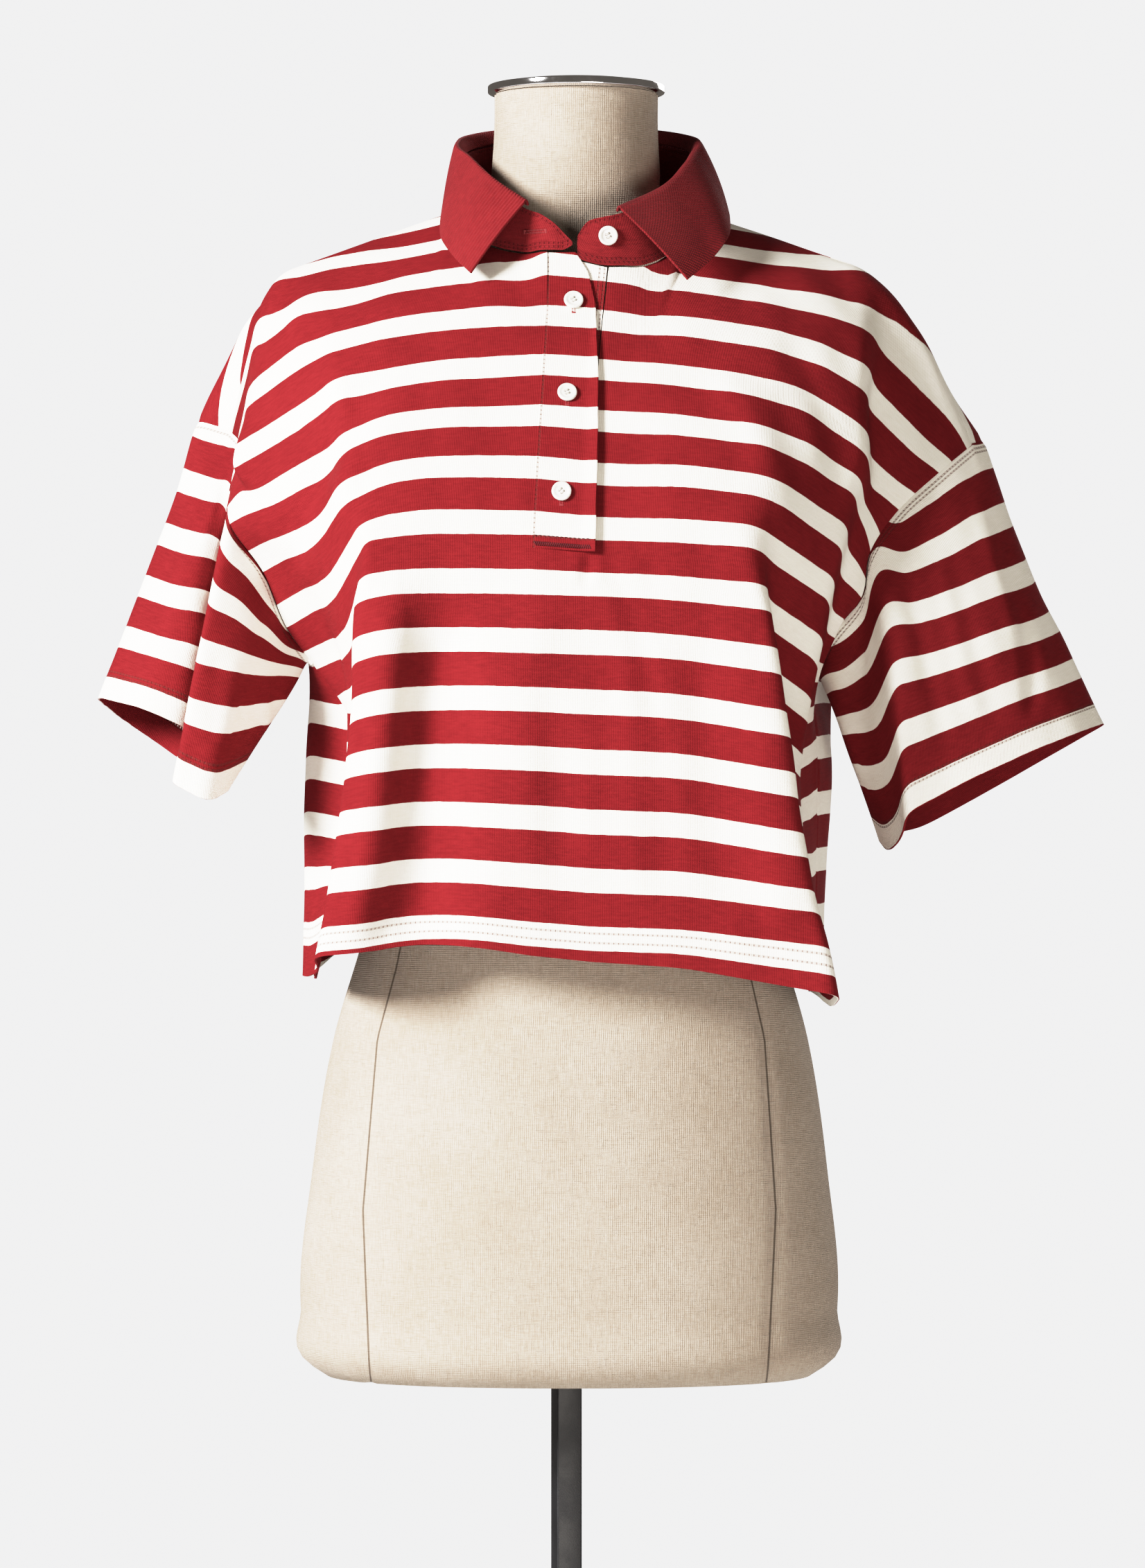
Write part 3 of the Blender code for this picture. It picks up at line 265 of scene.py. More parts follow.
# leaf: seam x, y, z at the stand's crest, roll x, y, z, lower edge x, y, z
LEAF = (
    (-25, -77, 1409, -27, -82, 1409, -61, -90, 1364),
    (-46, -60, 1422, -49, -63, 1427, -71, -76, 1375),
    (-61, -34, 1437, -64, -36, 1444, -80, -58, 1389),
    (-67, -18, 1444, -71, -19, 1451, -82, -31, 1404),
    (-68, -2, 1450, -72, -2, 1457, -80, -2, 1414),
    (-61, 30, 1458, -66, 32, 1465, -76, 38, 1418),
    (-37, 56, 1465, -41, 60, 1472, -62, 78, 1420),
    (7, 66, 1468, 7, 71, 1475, 8, 98, 1420),
    (51, 56, 1465, 55, 60, 1472, 78, 78, 1420),
    (76, 30, 1458, 81, 32, 1465, 101, 38, 1417),
    (83, -2, 1450, 88, -2, 1457, 105, -2, 1413),
    (80, -18, 1443, 85, -19, 1449, 106, -28, 1404),
    (75, -34, 1434, 79, -37, 1439, 104, -56, 1390),
    (62, -57, 1418, 64, -61, 1422, 94, -71, 1375),
    (33, -78, 1405, 35, -83, 1405, 78, -89, 1360),
)
# outward bow of the leaf between its roll and its edge: station, bow
LEAF_BOWS = ((0, 3), (1, 2), (2, 1), (5, 1), (6, 3), (8, 3), (10, 2), (13, 2), (14, 3))

# -------------------------------------------------------------------- placket
PLACKET_LIFT = 1.9     # the top strip's free edge stands this far off the slit's plane
# the top strip's free edge: cloth height, part of the slit's width
PLACKET_EDGE = ((258, 1.06), (330, 1.05), (376, 1.0), (430, 0.84), (452, 0.68), (466, 0.46))
TOP_STRIP_START = -0.022
UNDER_STRIP = (0.10, 0.985)      # both edges of the under strip
TOP_STRIP_WALL = 1.3
UNDER_STRIP_SUNK = 1.7           # it lies this far behind the top strip
BUTTON_ACROSS = 12.7
BUTTON_THICK = 2.2
# name, cloth height, part of the slit's width, turn of the holes in radians
BUTTONS = (("button_top", 433, 0.46, 0.5), ("button_middle", 364, 0.46, 0.3),
           ("button_bottom", 295, 0.45, 0.75))
STAND_BUTTON = (17.7, 0.6)      # station and part of the stand's height
STAND_BUTTON_TURN = 0.45
BUTTON_CLEAR = 0.45            # off the strip, which curves a little under the button

# ----------------------------------------------------------------- dress form
# height, half width, front, back, squareness (2 is an ellipse)
FORM = (
    (646, 160, -100, 78, 2.3),
    (654, 172, -110, 88, 2.3),
    (690, 177, -115, 92, 2.3),
    (780, 170, -113, 94, 2.3),
    (869, 156, -106, 90, 2.3),
    (940, 136, -97, 78, 2.3),
    (1010, 124, -88, 70, 2.3),
    (1080, 124, -98, 74, 2.4),
    (1150, 134, -120, 84, 2.5),
    (1200, 138, -132, 92, 2.6),
    (1250, 142, -120, 92, 2.6),
    (1300, 158, -94, 87, 2.6),
    (1335, 180, -66, 58, 2.5),
    (1354, 189, -50, 36, 2.4),
    (1367, 186, -38, 25, 2.3),
    (1377, 163, -36, 19, 2.2),
    (1387, 135, -38, 18, 2.1),
    (1397, 102, -38, 18, 2.0),
    (1406, 76, -42, 25, 2.0),
    (1420, 60, -50, 46, 2.0),
    (1440, 56, -52, 54, 2.0),
    (1470, 54, -52, 54, 2.0),
    (1490, 54, -52, 54, 2.0),
)
FORM_SHIFT = (1.5, 6.5)     # x of the form's axis at the bottom and at the neck
CAP_ACROSS = 117
CAP_RISE = 9           # the cap's dome above the form's top
POLE_SIDE = 17
POLE_ROUND = 1.2
POLE_TURN = 15         # degrees about Z
BASE_ACROSS = 360
BASE_THICK = 12
BASE_ROUND = 2.5
CONTACT = 0.3          # gap between parts of the stand that touch


# ------------------------------------------------------------------ net tools
ARC = 9                # columns over a rounded fold
SOFTER = 1.4           # folds are this much rounder than in the solid model
STRIP_PART = 0.45      # a rounding takes no more than this part of a strip
TOP_ROW, NECK_ROW, SHOULDER_ROW = 4.0, 3.3, 3.1    # rows where a panel ends and changes
CREASE_ENDS = 0.22     # part of a crease's length over which each end fades
BESIDE, BESIDE_AT = 0.35, 1.9    # the opposite swell beside a crease, and how far off it is


def curve_through(points, heights, end_way=None):
    """Points of a smooth curve at given cloth heights; points are (height, x, y, z)."""
    table = np.array(points, dtype=float)
    knots, places = table[:, 0], table[:, 1:]
    slopes = np.gradient(places, knots, axis=0)
    if end_way is not None:
        chord = np.linalg.norm(places[-1] - places[-2]) / (knots[-1] - knots[-2])
        slopes[-1] = np.array(end_way) * chord
    at = np.clip(np.atleast_1d(heights), knots[0], knots[-1])
    low = np.clip(np.searchsorted(knots, at, side="right") - 1, 0, len(knots) - 2)
    span = (knots[low + 1] - knots[low])[:, None]
    t = (at - knots[low])[:, None] / span
    return ((2 * t**3 - 3 * t**2 + 1) * places[low] + (t**3 - 2 * t**2 + t) * span * slopes[low]
            + (3 * t**2 - 2 * t**3) * places[low + 1] + (t**3 - t**2) * span * slopes[low + 1])


def along_table(table, stations):
    """Rows of a table of numbers, led through smoothly at places counted along it."""
    return curve_through(np.column_stack((np.arange(len(table)), table)), stations)


def unit(ways):
    """The same ways with a length of 1."""
    return ways / (np.linalg.norm(ways, axis=-1, keepdims=True) + 1e-9)


def smooth_step(value, start, end):
    """0 up to start, 1 from end on."""
    t = np.clip((value - start) / (end - start), 0, 1)
    return t * t * (3 - 2 * t)


def fold_lines(folds, rows, underarms, shoulder_folds, end_way):
    """Array rows x folds x (cloth height, x, y, z); rows run from 0 to 4."""
    lines = []
    for number, (_, _, points) in enumerate(folds):
        underarm = underarms[0] + (underarms[1] - underarms[0]) * number / (len(folds) - 1)
        heights = np.interp(rows, (0, 1, 2, 3, 4),
                            (points[0][0], underarm, SLIT_END, CHEST, points[-1][0]))
        way = end_way if number in shoulder_folds else None
        lines.append(np.column_stack((heights, curve_through(points, heights, way))))
    return np.stack(lines, axis=1)


def round_across(lines, rounding, closed=False):
    """Round the net across its fold lines; gives the net and each fold's column."""
    count = lines.shape[1]
    length = np.linalg.norm((np.roll(lines, -1, axis=1) - lines)[:, :, 1:], axis=2) + 1e-9
    before = np.roll(length, 1, axis=1)
    trim = np.minimum(rounding * SOFTER, STRIP_PART * np.minimum(length, before))
    sharp = np.max(np.broadcast_to(rounding, length.shape), axis=0) == 0
    if not closed:
        sharp[0] = sharp[-1] = True
    columns, fold_column = [], []
    for number in range(count):
        here = lines[:, number]
        end = here
        if sharp[number]:
            fold_column.append(len(columns))
            columns.append(here)
        else:
            behind = lines[:, number - 1] - here
            ahead = lines[:, (number + 1) % count] - here
            start = here + behind * (trim[:, number] / before[:, number])[:, None]
            end = here + ahead * (trim[:, number] / length[:, number])[:, None]
            fold_column.append(len(columns) + ARC // 2)
            for s in np.linspace(0, 1, ARC):
                columns.append((1 - s) ** 2 * start + 2 * s * (1 - s) * here + s * s * end)
        if number == count - 1 and not closed:
            break
        target = (number + 1) % count
        goal = lines[:, target]
        if not sharp[target]:
            goal = goal + (here - goal) * (trim[:, target] / length[:, number])[:, None]
        straight = np.linalg.norm((goal - end)[:, 1:], axis=1).mean()
        added = max(0, math.ceil(straight / CELL) - 1)
        for s in np.linspace(0, 1, added + 2)[1:-1]:
            columns.append(end + (goal - end) * s)
    if closed:
        columns.append(columns[0])
    return np.stack(columns, axis=1), fold_column


def neck_place(point):
    """Foot of the stand in the same direction from the neck's axis."""
    dense = along_table(STAND, np.linspace(0, len(STAND) - 1, 400))[:, :3]
    turn = np.arctan2(dense[:, 0] - NECK_AXIS[0], -(dense[:, 1] - NECK_AXIS[1]))
    wanted = math.atan2(point[0] - NECK_AXIS[0], -(point[1] - NECK_AXIS[1]))
    off = np.abs((turn - wanted + math.pi) % (2 * math.pi) - math.pi)
    return dense[int(np.argmin(off))]


def meet_neck(net, rows, first, last):
    """Lead the top of the columns from first to last onto the stand's foot."""
    weight = smooth_step(rows, NECK_ROW, TOP_ROW)[:, None]
    for column in range(first, last + 1):
        shift = neck_place(net[-1, column, 1:3]) - net[-1, column, 1:]
        net[:, column, 1:] += weight * shift
    return net


def face_ways(net, turned=False):
    """The way that the cloth faces at each point of a net."""
    across = np.gradient(net[:, :, 1:], axis=1)
    up = np.gradient(net[:, :, 1:], axis=0)
    out = unit(np.cross(across, up))
    return -out if turned else out


def seen_at(net):
    """Where the camera sees each point of a net, in the photograph's pixels."""
    scale = (net[:, :, 2] - CAMERA[1]) / PIXELS_A_TURN
    across = PICTURE_WIDE / 2 + (net[:, :, 1] - CAMERA[0]) / scale
    down = PICTURE_HIGH / 2 - (net[:, :, 3] - CAMERA[2]) / scale
    return np.stack((across, down), axis=2)


def from_line(places, points):
    """Distance of each place from a smooth line through the points, and the part along it."""
    steps = np.linspace(0, len(points) - 1, 12 * len(points))
    line = along_table(points, steps)
    off = np.linalg.norm(places[:, :, None, :] - line[None, None], axis=3)
    nearest = off.argmin(axis=2)
    return off.min(axis=2), steps[nearest] / steps[-1]


def crease(net, out, places, creases, facing):
    """Press soft troughs (depth below 0) and raise ridges along the lines of a table."""
    for _, width, depth, points in creases:
        off, along = from_line(places, points)
        fade = smooth_step(along, 0, CREASE_ENDS) * smooth_step(1 - along, 0, CREASE_ENDS)
        beside = np.exp(-((off - BESIDE_AT * width) / width) ** 2)
        shape = np.exp(-(off / width) ** 2) - BESIDE * beside
        net[:, :, 1:] += out * (depth * fade * shape * facing)[:, :, None]
    return net


def rumple(net, out, height, size, seed):
    """A slight unevenness all over, longer up the cloth than across it."""
    places = net[:, :, 1:] / (size, size, size * 1.8) + (seed, 0, 0)
    lift = np.array([[noise.noise(Vector(place)) for place in row] for row in places])
    net[:, :, 1:] += out * (height * lift)[:, :, None]
    return net


def seam_ditch(net, out, distance, deep=0.9, wide=2.2):
    """Sink the cloth a little beside a seam; distance is from the seam's line."""
    net[:, :, 1:] -= out * (deep * np.exp(-(distance / wide) ** 2))[:, :, None]
    return net


def edge_distance(net, column):
    """Distance of each point from an edge column along its row."""
    step = np.linalg.norm(np.diff(net[:, :, 1:], axis=1), axis=2)
    if column == 0:
        return np.concatenate((np.zeros((len(net), 1)), np.cumsum(step, axis=1)), axis=1)
    back = np.cumsum(step[:, ::-1], axis=1)[:, ::-1]
    return np.concatenate((back, np.zeros((len(net), 1))), axis=1)


def top_distance(net):
    """Distance of each point from the top row along its column."""
    step = np.linalg.norm(np.diff(net[:, :, 1:], axis=0), axis=2)
    return np.concatenate((np.cumsum(step[::-1], axis=0)[::-1], np.zeros((1, net.shape[1]))))


# ----------------------------------------------------------------- mesh tools
def add_piece(name, bm, material):
    """A visible piece from a bmesh, riding on the one body."""
    mesh = bpy.data.meshes.new(name)
    bm.to_mesh(mesh)
    bm.free()
    mesh.materials.append(material)
    item = bpy.data.objects.new(name, mesh)
    bpy.context.scene.collection.objects.link(item)
    mesh.shade_smooth()
    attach(item, "root")
    return item


def net_grid(net, keep=None, turned=False, closed=False, up_shift=0.0, marks=None, middle=0):
    """A grid moved onto the net; its UV map holds (distance across, cloth height).

    Distances across are counted from the middle column.  Marks is a number at each
    point, kept as the attribute that the stitching reads.
    """
    rows, columns = net.shape[:2]
    bm = bmesh.new()
    bmesh.ops.create_grid(bm, x_segments=columns - 1, y_segments=rows - 1, size=0.5)
    uv = bm.loops.layers.uv.new("cloth")
    layer = bm.verts.layers.float.new("seam")
    across = edge_distance(net, 0)
    across = across - across[:, [middle]]
    place = {}
    for vert in bm.verts:
        place[vert] = (round((vert.co.y + 0.5) * (rows - 1)),
                       round((vert.co.x + 0.5) * (columns - 1)))
    gone = []
    for face in bm.faces:
        for loop in face.loops:
            row, column = place[loop.vert]
            loop[uv].uv = (across[row, column] * MM, (net[row, column, 0] + up_shift) * MM)
        if keep is not None:
            row = min(place[vert][0] for vert in face.verts)
            column = min(place[vert][1] for vert in face.verts)
            if not keep(row, column):
                gone.append(face)
    if marks is not None:
        for vert, (row, column) in place.items():
            vert[layer] = marks[row, column]
    for vert, (row, column) in place.items():
        vert.co = Vector(net[row, column, 1:]) * MM
    bmesh.ops.delete(bm, geom=gone, context="FACES")
    if closed:
        bmesh.ops.remove_doubles(bm, verts=bm.verts, dist=2e-6)
    if turned:
        bmesh.ops.reverse_faces(bm, faces=bm.faces)
    return bm


def work_in(item, modifier):
    """Give the item the mesh that its modifier makes, and return it."""
    depsgraph = bpy.context.evaluated_depsgraph_get()
    mesh = bpy.data.meshes.new_from_object(item.evaluated_get(depsgraph))
    item.modifiers.remove(modifier)
    item.data = mesh
    return mesh


def give_wall(item, wall, angle=55):
    """Thicken inward and mark the inner face, then keep the rim's edges sharp."""
    outer = len(item.data.vertices)
    shell = item.modifiers.new("wall", "SOLIDIFY")
    shell.thickness = wall * MM
    shell.offset = -1.0
    shell.use_rim = True
    shell.use_quality_normals = True
    shell.use_even_offset = False
    solid = work_in(item, shell)
    solid.name = item.name
    inside = solid.attributes.new("inside", "FLOAT", "POINT")
    inside.data.foreach_set("value", (np.arange(len(solid.vertices)) >= outer).astype(float))
    solid.shade_smooth()
    solid.set_sharp_from_angle(angle=math.radians(angle))
    return item


def soften_rim(item, width, segments):
    bevel = item.modifiers.new("edge", "BEVEL")
    bevel.width = width * MM
    bevel.segments = segments
    bevel.limit_method = "ANGLE"
    bevel.angle_limit = math.radians(50)


def add_rod(bm, radius, length, sides=8):
    """A round rod along Z about the origin; gives its vertices."""
    return bmesh.ops.create_cone(bm, cap_ends=True, segments=sides, radius1=radius * MM,
                                 radius2=radius * MM, depth=length * MM)["verts"]


def add_bar(bm, size, place):
    """A block of the given size about a place."""
    verts = bmesh.ops.create_cube(bm, size=1.0)["verts"]
    bmesh.ops.scale(bm, verts=verts, vec=Vector(size) * MM)
    bmesh.ops.translate(bm, verts=verts, vec=Vector(place) * MM)


def round_edges(bm, offset, segments):
    bmesh.ops.bevel(bm, geom=bm.edges[:], offset=offset * MM, affect="EDGES",
                    segments=segments, profile=0.5, material=-1)


def arc(radius, height, corner, first, last, count):
    """Points of a profile round a corner about (radius, height), between two angles."""
    return [(radius + corner * math.cos(turn), height + corner * math.sin(turn))
            for turn in np.radians(np.linspace(first, last, count))]


def lathe(profile, sides):
    """Round body from a profile of (radius, height) with its ends on the axis."""
    bm = bmesh.new()
    verts = [bm.verts.new(Vector((radius, 0, height)) * MM) for radius, height in profile]
    edges = [bm.edges.new(pair) for pair in zip(verts, verts[1:])]
    bmesh.ops.spin(bm, geom=verts + edges, cent=(0, 0, 0), axis=(0, 0, 1),
                   angle=math.tau, steps=sides, use_merge=True)
    bmesh.ops.remove_doubles(bm, verts=bm.verts, dist=1e-6)
    bmesh.ops.recalc_face_normals(bm, faces=bm.faces)
    return bm


# ------------------------------------------------------------------ materials
class Value:
    """A number inside a finish; the operators on it add Math nodes."""

    def __init__(self, finish, socket):
        self.finish = finish
        self.socket = socket

    def math(self, operation, *others):
        return self.finish.math(operation, self, *others)

    def __add__(self, other):
        return self.math("ADD", other)

    __radd__ = __add__

    def __sub__(self, other):
        return self.math("SUBTRACT", other)

    def __rsub__(self, other):
        return self.finish.math("SUBTRACT", other, self)

    def __mul__(self, other):
        return self.math("MULTIPLY", other)

    __rmul__ = __mul__

    def __mod__(self, other):
        return self.math("FLOORED_MODULO", other)

    def wave(self, length):
        """Rises to 1 and falls to 0 over each length."""
        return (self * (math.tau / length)).math("SINE") * 0.5 + 0.5

    def step(self, low, high):
        """Smooth step: 0 at low, 1 at high."""
        return self.finish.node("ShaderNodeMapRange", {"interpolation_type": "SMOOTHSTEP"},
                                {"Value": self, "From Min": low, "From Max": high})

    def near(self, centre, half, soft):
        """1 within half of the centre, fading over soft."""
        return (self - centre).math("ABSOLUTE").step(half + soft, half)


class Finish:
    """A material while it is being made; sizes inside it are in millimetres."""

    def __init__(self, name, roughness, metallic=0.0, **constants):
        self.material = bpy.data.materials.new(name)
        self.material.use_nodes = True
        self.tree = self.material.node_tree
        self.shader = self.tree.nodes["Principled BSDF"]
        self.shader.inputs["Roughness"].default_value = roughness
        self.shader.inputs["Metallic"].default_value = metallic
        for key, value in constants.items():
            self.shader.inputs[key.replace("_", " ")].default_value = value

    def node(self, kind, settings, sockets, output=0):
        node = self.tree.nodes.new(kind)
        for key, value in settings.items():
            setattr(node, key, value)
        for key, value in sockets.items():
            self.put(node.inputs[key], value)
        return Value(self, node.outputs[output])

    def put(self, socket, value):
        if isinstance(value, Value):
            self.tree.links.new(value.socket, socket)
        else:
            socket.default_value = value

    def math(self, operation, *numbers):
        return self.node("ShaderNodeMath", {"operation": operation}, dict(enumerate(numbers)))

    def place(self):
        """Object coordinates in millimetres."""
        coordinates = self.node("ShaderNodeTexCoord", {}, {}, "Object")
        return self.node("ShaderNodeVectorMath", {"operation": "SCALE"},
                         {0: coordinates, "Scale": 1 / MM})

    def cloth(self):
        """Distance across and height on the cloth, from the UV map."""
        flat = self.node("ShaderNodeUVMap", {"uv_map": "cloth"}, {})
        u = self.node("ShaderNodeSeparateXYZ", {}, {0: flat}, "X")
        v = self.node("ShaderNodeSeparateXYZ", {}, {0: flat}, "Y")
        return u * (1 / MM), v * (1 / MM)

    def attribute(self, name):
        return self.node("ShaderNodeAttribute", {"attribute_name": name}, {}, "Fac")

    def stretched(self, x, y, z=0.0):
        return self.node("ShaderNodeCombineXYZ", {}, {"X": x, "Y": y, "Z": z})

    def noise(self, vector, size, detail=3.0, rough=0.55):
        return self.node("ShaderNodeTexNoise", {},
                         {"Vector": vector, "Scale": 1 / size, "Detail": detail,
                          "Roughness": rough})

    def mix(self, part, first, second):
        return self.node("ShaderNodeMix", {"data_type": "RGBA"},
                         {0: part, 6: first, 7: second}, 2)

    def colour(self, value):
        self.put(self.shader.inputs["Base Color"], value)

    def rough(self, value):
        self.put(self.shader.inputs["Roughness"], value)

    def relief(self, height, depth):
        """Bump from a height of 0 to 1 that stands for a depth in millimetres."""
        bump = self.node("ShaderNodeBump", {}, {"Height": height, "Distance": depth * MM})
        self.put(self.shader.inputs["Normal"], bump)


BURGUNDY = (0.190, 0.0185, 0.0225, 1)
BURGUNDY_DEEP = (0.138, 0.0125, 0.0160, 1)
CREAM = (0.80, 0.775, 0.715, 1)
CREAM_SHADE = (0.74, 0.71, 0.64, 1)
# painted shade for the grooves of the topstitched lines, mixed in less where the thread lies
GROOVE_PAINTED_SHADE = (0.12, 0.035, 0.032, 1)
DEEP_SHADE = (0.06, 0.006, 0.009, 1)
BAND_START = 6         # cloth height where the lowest cream band begins
BAND = 15.5            # height of a cream band
REPEAT = 37            # from one cream band to the next
WALE = 1.15            # one column of knitted loops
COURSE = 0.95          # one row of loops
STITCH = 3.1           # length of one topstitch and its hole
TURN_UP = 19.0         # height of the hem turned up inside
OVERLOCK = 2.4         # one loop of the overlocked rim
RIB = 2.3              # one rib of the collar leaf
COLLAR_GLOSS = {"Sheen_Weight": 0.03, "Sheen_Roughness": 0.5, "Specular_IOR_Level": 0.15}


def knit_relief(finish, across, height):
    """The face of a jersey knit: loops in columns and rows, slightly uneven."""
    loops = across.wave(WALE) * 0.55 + (height + across.wave(WALE) * 0.3).wave(COURSE) * 0.3
    uneven = finish.noise(finish.stretched(across, height), 3.5)
    return loops + uneven * 0.7


def topstitch(along, off, half=0.45):
    """A line of thread: 1 on the thread, from the distances along it and off it."""
    return off.near(0, half, 0.25) * (along % STITCH).near(STITCH / 2, STITCH * 0.32, 0.35)


def striped_knit(name, heights=(), seams=(), columns=(), edge=0.0, turn_up=TURN_UP):
    """Burgundy and cream jersey, topstitched at cloth heights, seam distances and columns, with
    painted shade in the stitch grooves.

    On the inner face the cloth below turn_up is the hem's fold, its stripes carried on
    past the hem's edge, and ends in an overlocked rim.
    """
    finish = Finish(name, 0.88, Specular_IOR_Level=0.08)
    across, face_height = finish.cloth()
    inside = finish.attribute("inside").step(0.4, 0.6)
    folded = inside * face_height.step(edge + turn_up + 0.3, edge + turn_up)
    height = face_height + folded * (2 * edge - 2 * face_height)
    place = finish.place()
    wobble = finish.noise(finish.stretched(across * 0.6, height * 0.2), 5.0) - 0.5
    in_repeat = (height + wobble * 0.8 - BAND_START) % REPEAT
    cream = in_repeat.near(BAND / 2, BAND / 2 - 0.3, 0.5)
    streaks = finish.noise(finish.stretched(across * 0.25, height * 1.6), 2.4, 4.0, 0.7)
    patches = finish.noise(place, 45.0, 2.0)
    heather = (streaks * 0.7 + patches * 0.3).step(0.3, 0.7)
    red = finish.mix(heather, BURGUNDY_DEEP, BURGUNDY)
    pale = finish.mix(heather, CREAM_SHADE, CREAM)
    colour = finish.mix(cream, red, pale)
    relief = knit_relief(finish, across, height)
    loops = (across + face_height * 0.35) % OVERLOCK
    over = inside * face_height.near(edge + turn_up, 2.2, 0.3) * loops.near(OVERLOCK / 2, 0.5, 0.3)
    colour = finish.mix(over * 0.85, colour, CREAM_SHADE)
    relief = relief + over * 2.0
    lines = [(across, face_height - line) for line in heights]
    lines += [(face_height, across - line) for line in columns]
    if seams:
        from_seam = finish.attribute("seam")
        lines += [(across + face_height * 0.3, from_seam - line) for line in seams]
    for along, off in lines:
        thread = topstitch(along, off)
        # painted shade: each stitched line's groove is darkened, less where the thread lies on it
        groove = off.near(0, 0.35, 0.5)
        colour = finish.mix(groove * (0.75 - thread * 0.4), colour, GROOVE_PAINTED_SHADE)
        relief = relief - groove * 2.2 + thread * 1.4
    finish.colour(colour)
    finish.rough(0.8 + streaks * 0.15)
    finish.relief(relief, 0.22)
    return finish.material


def rib_knit(name):
    """Plain burgundy rib for the collar."""
    finish = Finish(name, 0.9, **COLLAR_GLOSS)
    across, height = finish.cloth()
    ribs = across.wave(RIB)
    loops = (height + ribs * 0.5).wave(COURSE) * 0.35
    streaks = finish.noise(finish.stretched(across * 0.9, height * 0.5), 2.6, 4.0, 0.7)
    patches = finish.noise(finish.place(), 30.0, 2.0)
    shade = (streaks * 0.6 + patches * 0.4).step(0.3, 0.7)
    finish.colour(finish.mix(shade, BURGUNDY_DEEP, BURGUNDY))
    finish.rough(0.84 + streaks * 0.12)
    finish.relief(ribs + loops + streaks * 0.5, 0.4)
    return finish.material


def stand_knit(name):
    """Plain burgundy jersey of the collar stand, topstitched near its edges."""
    finish = Finish(name, 0.9, **COLLAR_GLOSS)
    across, height = finish.cloth()
    streaks = finish.noise(finish.stretched(across * 0.3, height * 1.5), 2.4, 4.0, 0.7)
    relief = knit_relief(finish, across, height)
    colour = finish.mix(streaks.step(0.3, 0.7), BURGUNDY_DEEP, BURGUNDY)
    for off in (height - 2.0, height - 4.4, finish.attribute("seam") - 2.0):
        groove = off.near(0, 0.3, 0.6)
        thread = topstitch(across, off)
        colour = finish.mix(groove * (0.5 - thread * 0.5), colour, DEEP_SHADE)
        relief = relief - groove * 2.2 + thread * 1.6
    finish.colour(colour)
    finish.relief(relief, 0.24)
    return finish.material


LINEN_PALE = (0.405, 0.352, 0.300, 1)
LINEN_DARK = (0.300, 0.248, 0.200, 1)
SEAM_SHADE = (0.085, 0.065, 0.05, 1)


def linen_cloth(name):
    """Natural linen: plain weave with slubs, a darker line in each princess seam."""
    finish = Finish(name, 0.92, Sheen_Weight=0.04, Sheen_Roughness=0.5, Specular_IOR_Level=0.2)
    across, height = finish.cloth()
    weft = finish.noise(finish.stretched(across * 0.12, height * 1.6), 1.0, 1.0, 0.5)
    warp = finish.noise(finish.stretched(across * 1.6, height * 0.1, 40.0), 1.0, 1.0, 0.5)
    clouds = finish.noise(finish.place(), 60.0, 2.0)
    slubs = weft.step(0.64, 0.74) + warp.step(0.66, 0.76)
    tone = (weft * 0.5 + warp * 0.5 + (clouds - 0.5) * 0.3).step(0.30, 0.72)
    colour = finish.mix(tone, LINEN_DARK, LINEN_PALE)
    from_seam = finish.attribute("seam")
    colour = finish.mix(from_seam.near(0, 0.45, 0.6) * 0.85, colour, SEAM_SHADE)
    threads = across.wave(1.3) * 0.5 + height.wave(1.25) * 0.5
    finish.colour(colour)
    finish.rough(0.86 + tone * 0.1)
    finish.relief(threads + slubs * 0.6 + weft * 0.6 + warp * 0.6, 0.28)
    return finish.material


def pearl(name):
    """Milky button with faint clouds and a soft gloss."""
    finish = Finish(name, 0.28, Coat_Weight=0.4, Coat_Roughness=0.12)
    clouds = finish.noise(finish.place(), 3.2, 4.0, 0.6).step(0.3, 0.7)
    finish.colour(finish.mix(clouds, (0.60, 0.585, 0.54, 1), (0.72, 0.71, 0.675, 1)))
    finish.rough(0.22 + clouds * 0.14)
    return finish.material


def sewing_thread(name, colour):
    """Twisted thread."""
    finish = Finish(name, 0.8)
    twist = finish.noise(finish.place(), 0.5, 2.0)
    dark = tuple(part * 0.72 for part in colour[:3]) + (1,)
    finish.colour(finish.mix(twist.step(0.35, 0.65), dark, colour))
    finish.relief(twist, 0.15)
    return finish.material


def chrome_metal(name):
    """Polished chrome with a few faint wiping marks."""
    finish = Finish(name, 0.12, 1.0)
    marks = finish.noise(finish.place(), 14.0, 4.0, 0.6)
    finish.colour(finish.mix(marks, (0.70, 0.70, 0.72, 1), (0.82, 0.82, 0.83, 1)))
    finish.rough(0.07 + marks.step(0.4, 0.7) * 0.10)
    finish.relief(marks, 0.02)
    return finish.material


def charcoal_paint(name):
    """Satin powder paint, its grain just visible, a little worn in patches."""
    finish = Finish(name, 0.45)
    place = finish.place()
    grain = finish.noise(place, 0.9, 2.0)
    worn = finish.noise(place, 38.0, 4.0, 0.6).step(0.35, 0.75)
    finish.colour(finish.mix(worn, (0.0045, 0.0045, 0.006, 1), (0.008, 0.008, 0.010, 1)))
    finish.rough(0.38 + worn * 0.14 + grain * 0.08)
    finish.relief(grain, 0.05)
    return finish.material


# --------------------------------------------------------------------- panels
HEM_EDGE = 3.0                   # cloth height of the body's hem
HEM_STITCHES = (11.0, 17.0)      # cloth heights of the two topstitched lines
SIDE_CREASES_FADE = 14           # creases fade out this near an edge
FLANK = 36                       # the back is seen from the front this far past its seam
FLANK_START = (26, 44)           # cloth heights where the led stripes set in on the right
FLANK_END = (200, 232)           # and where they end under both arms
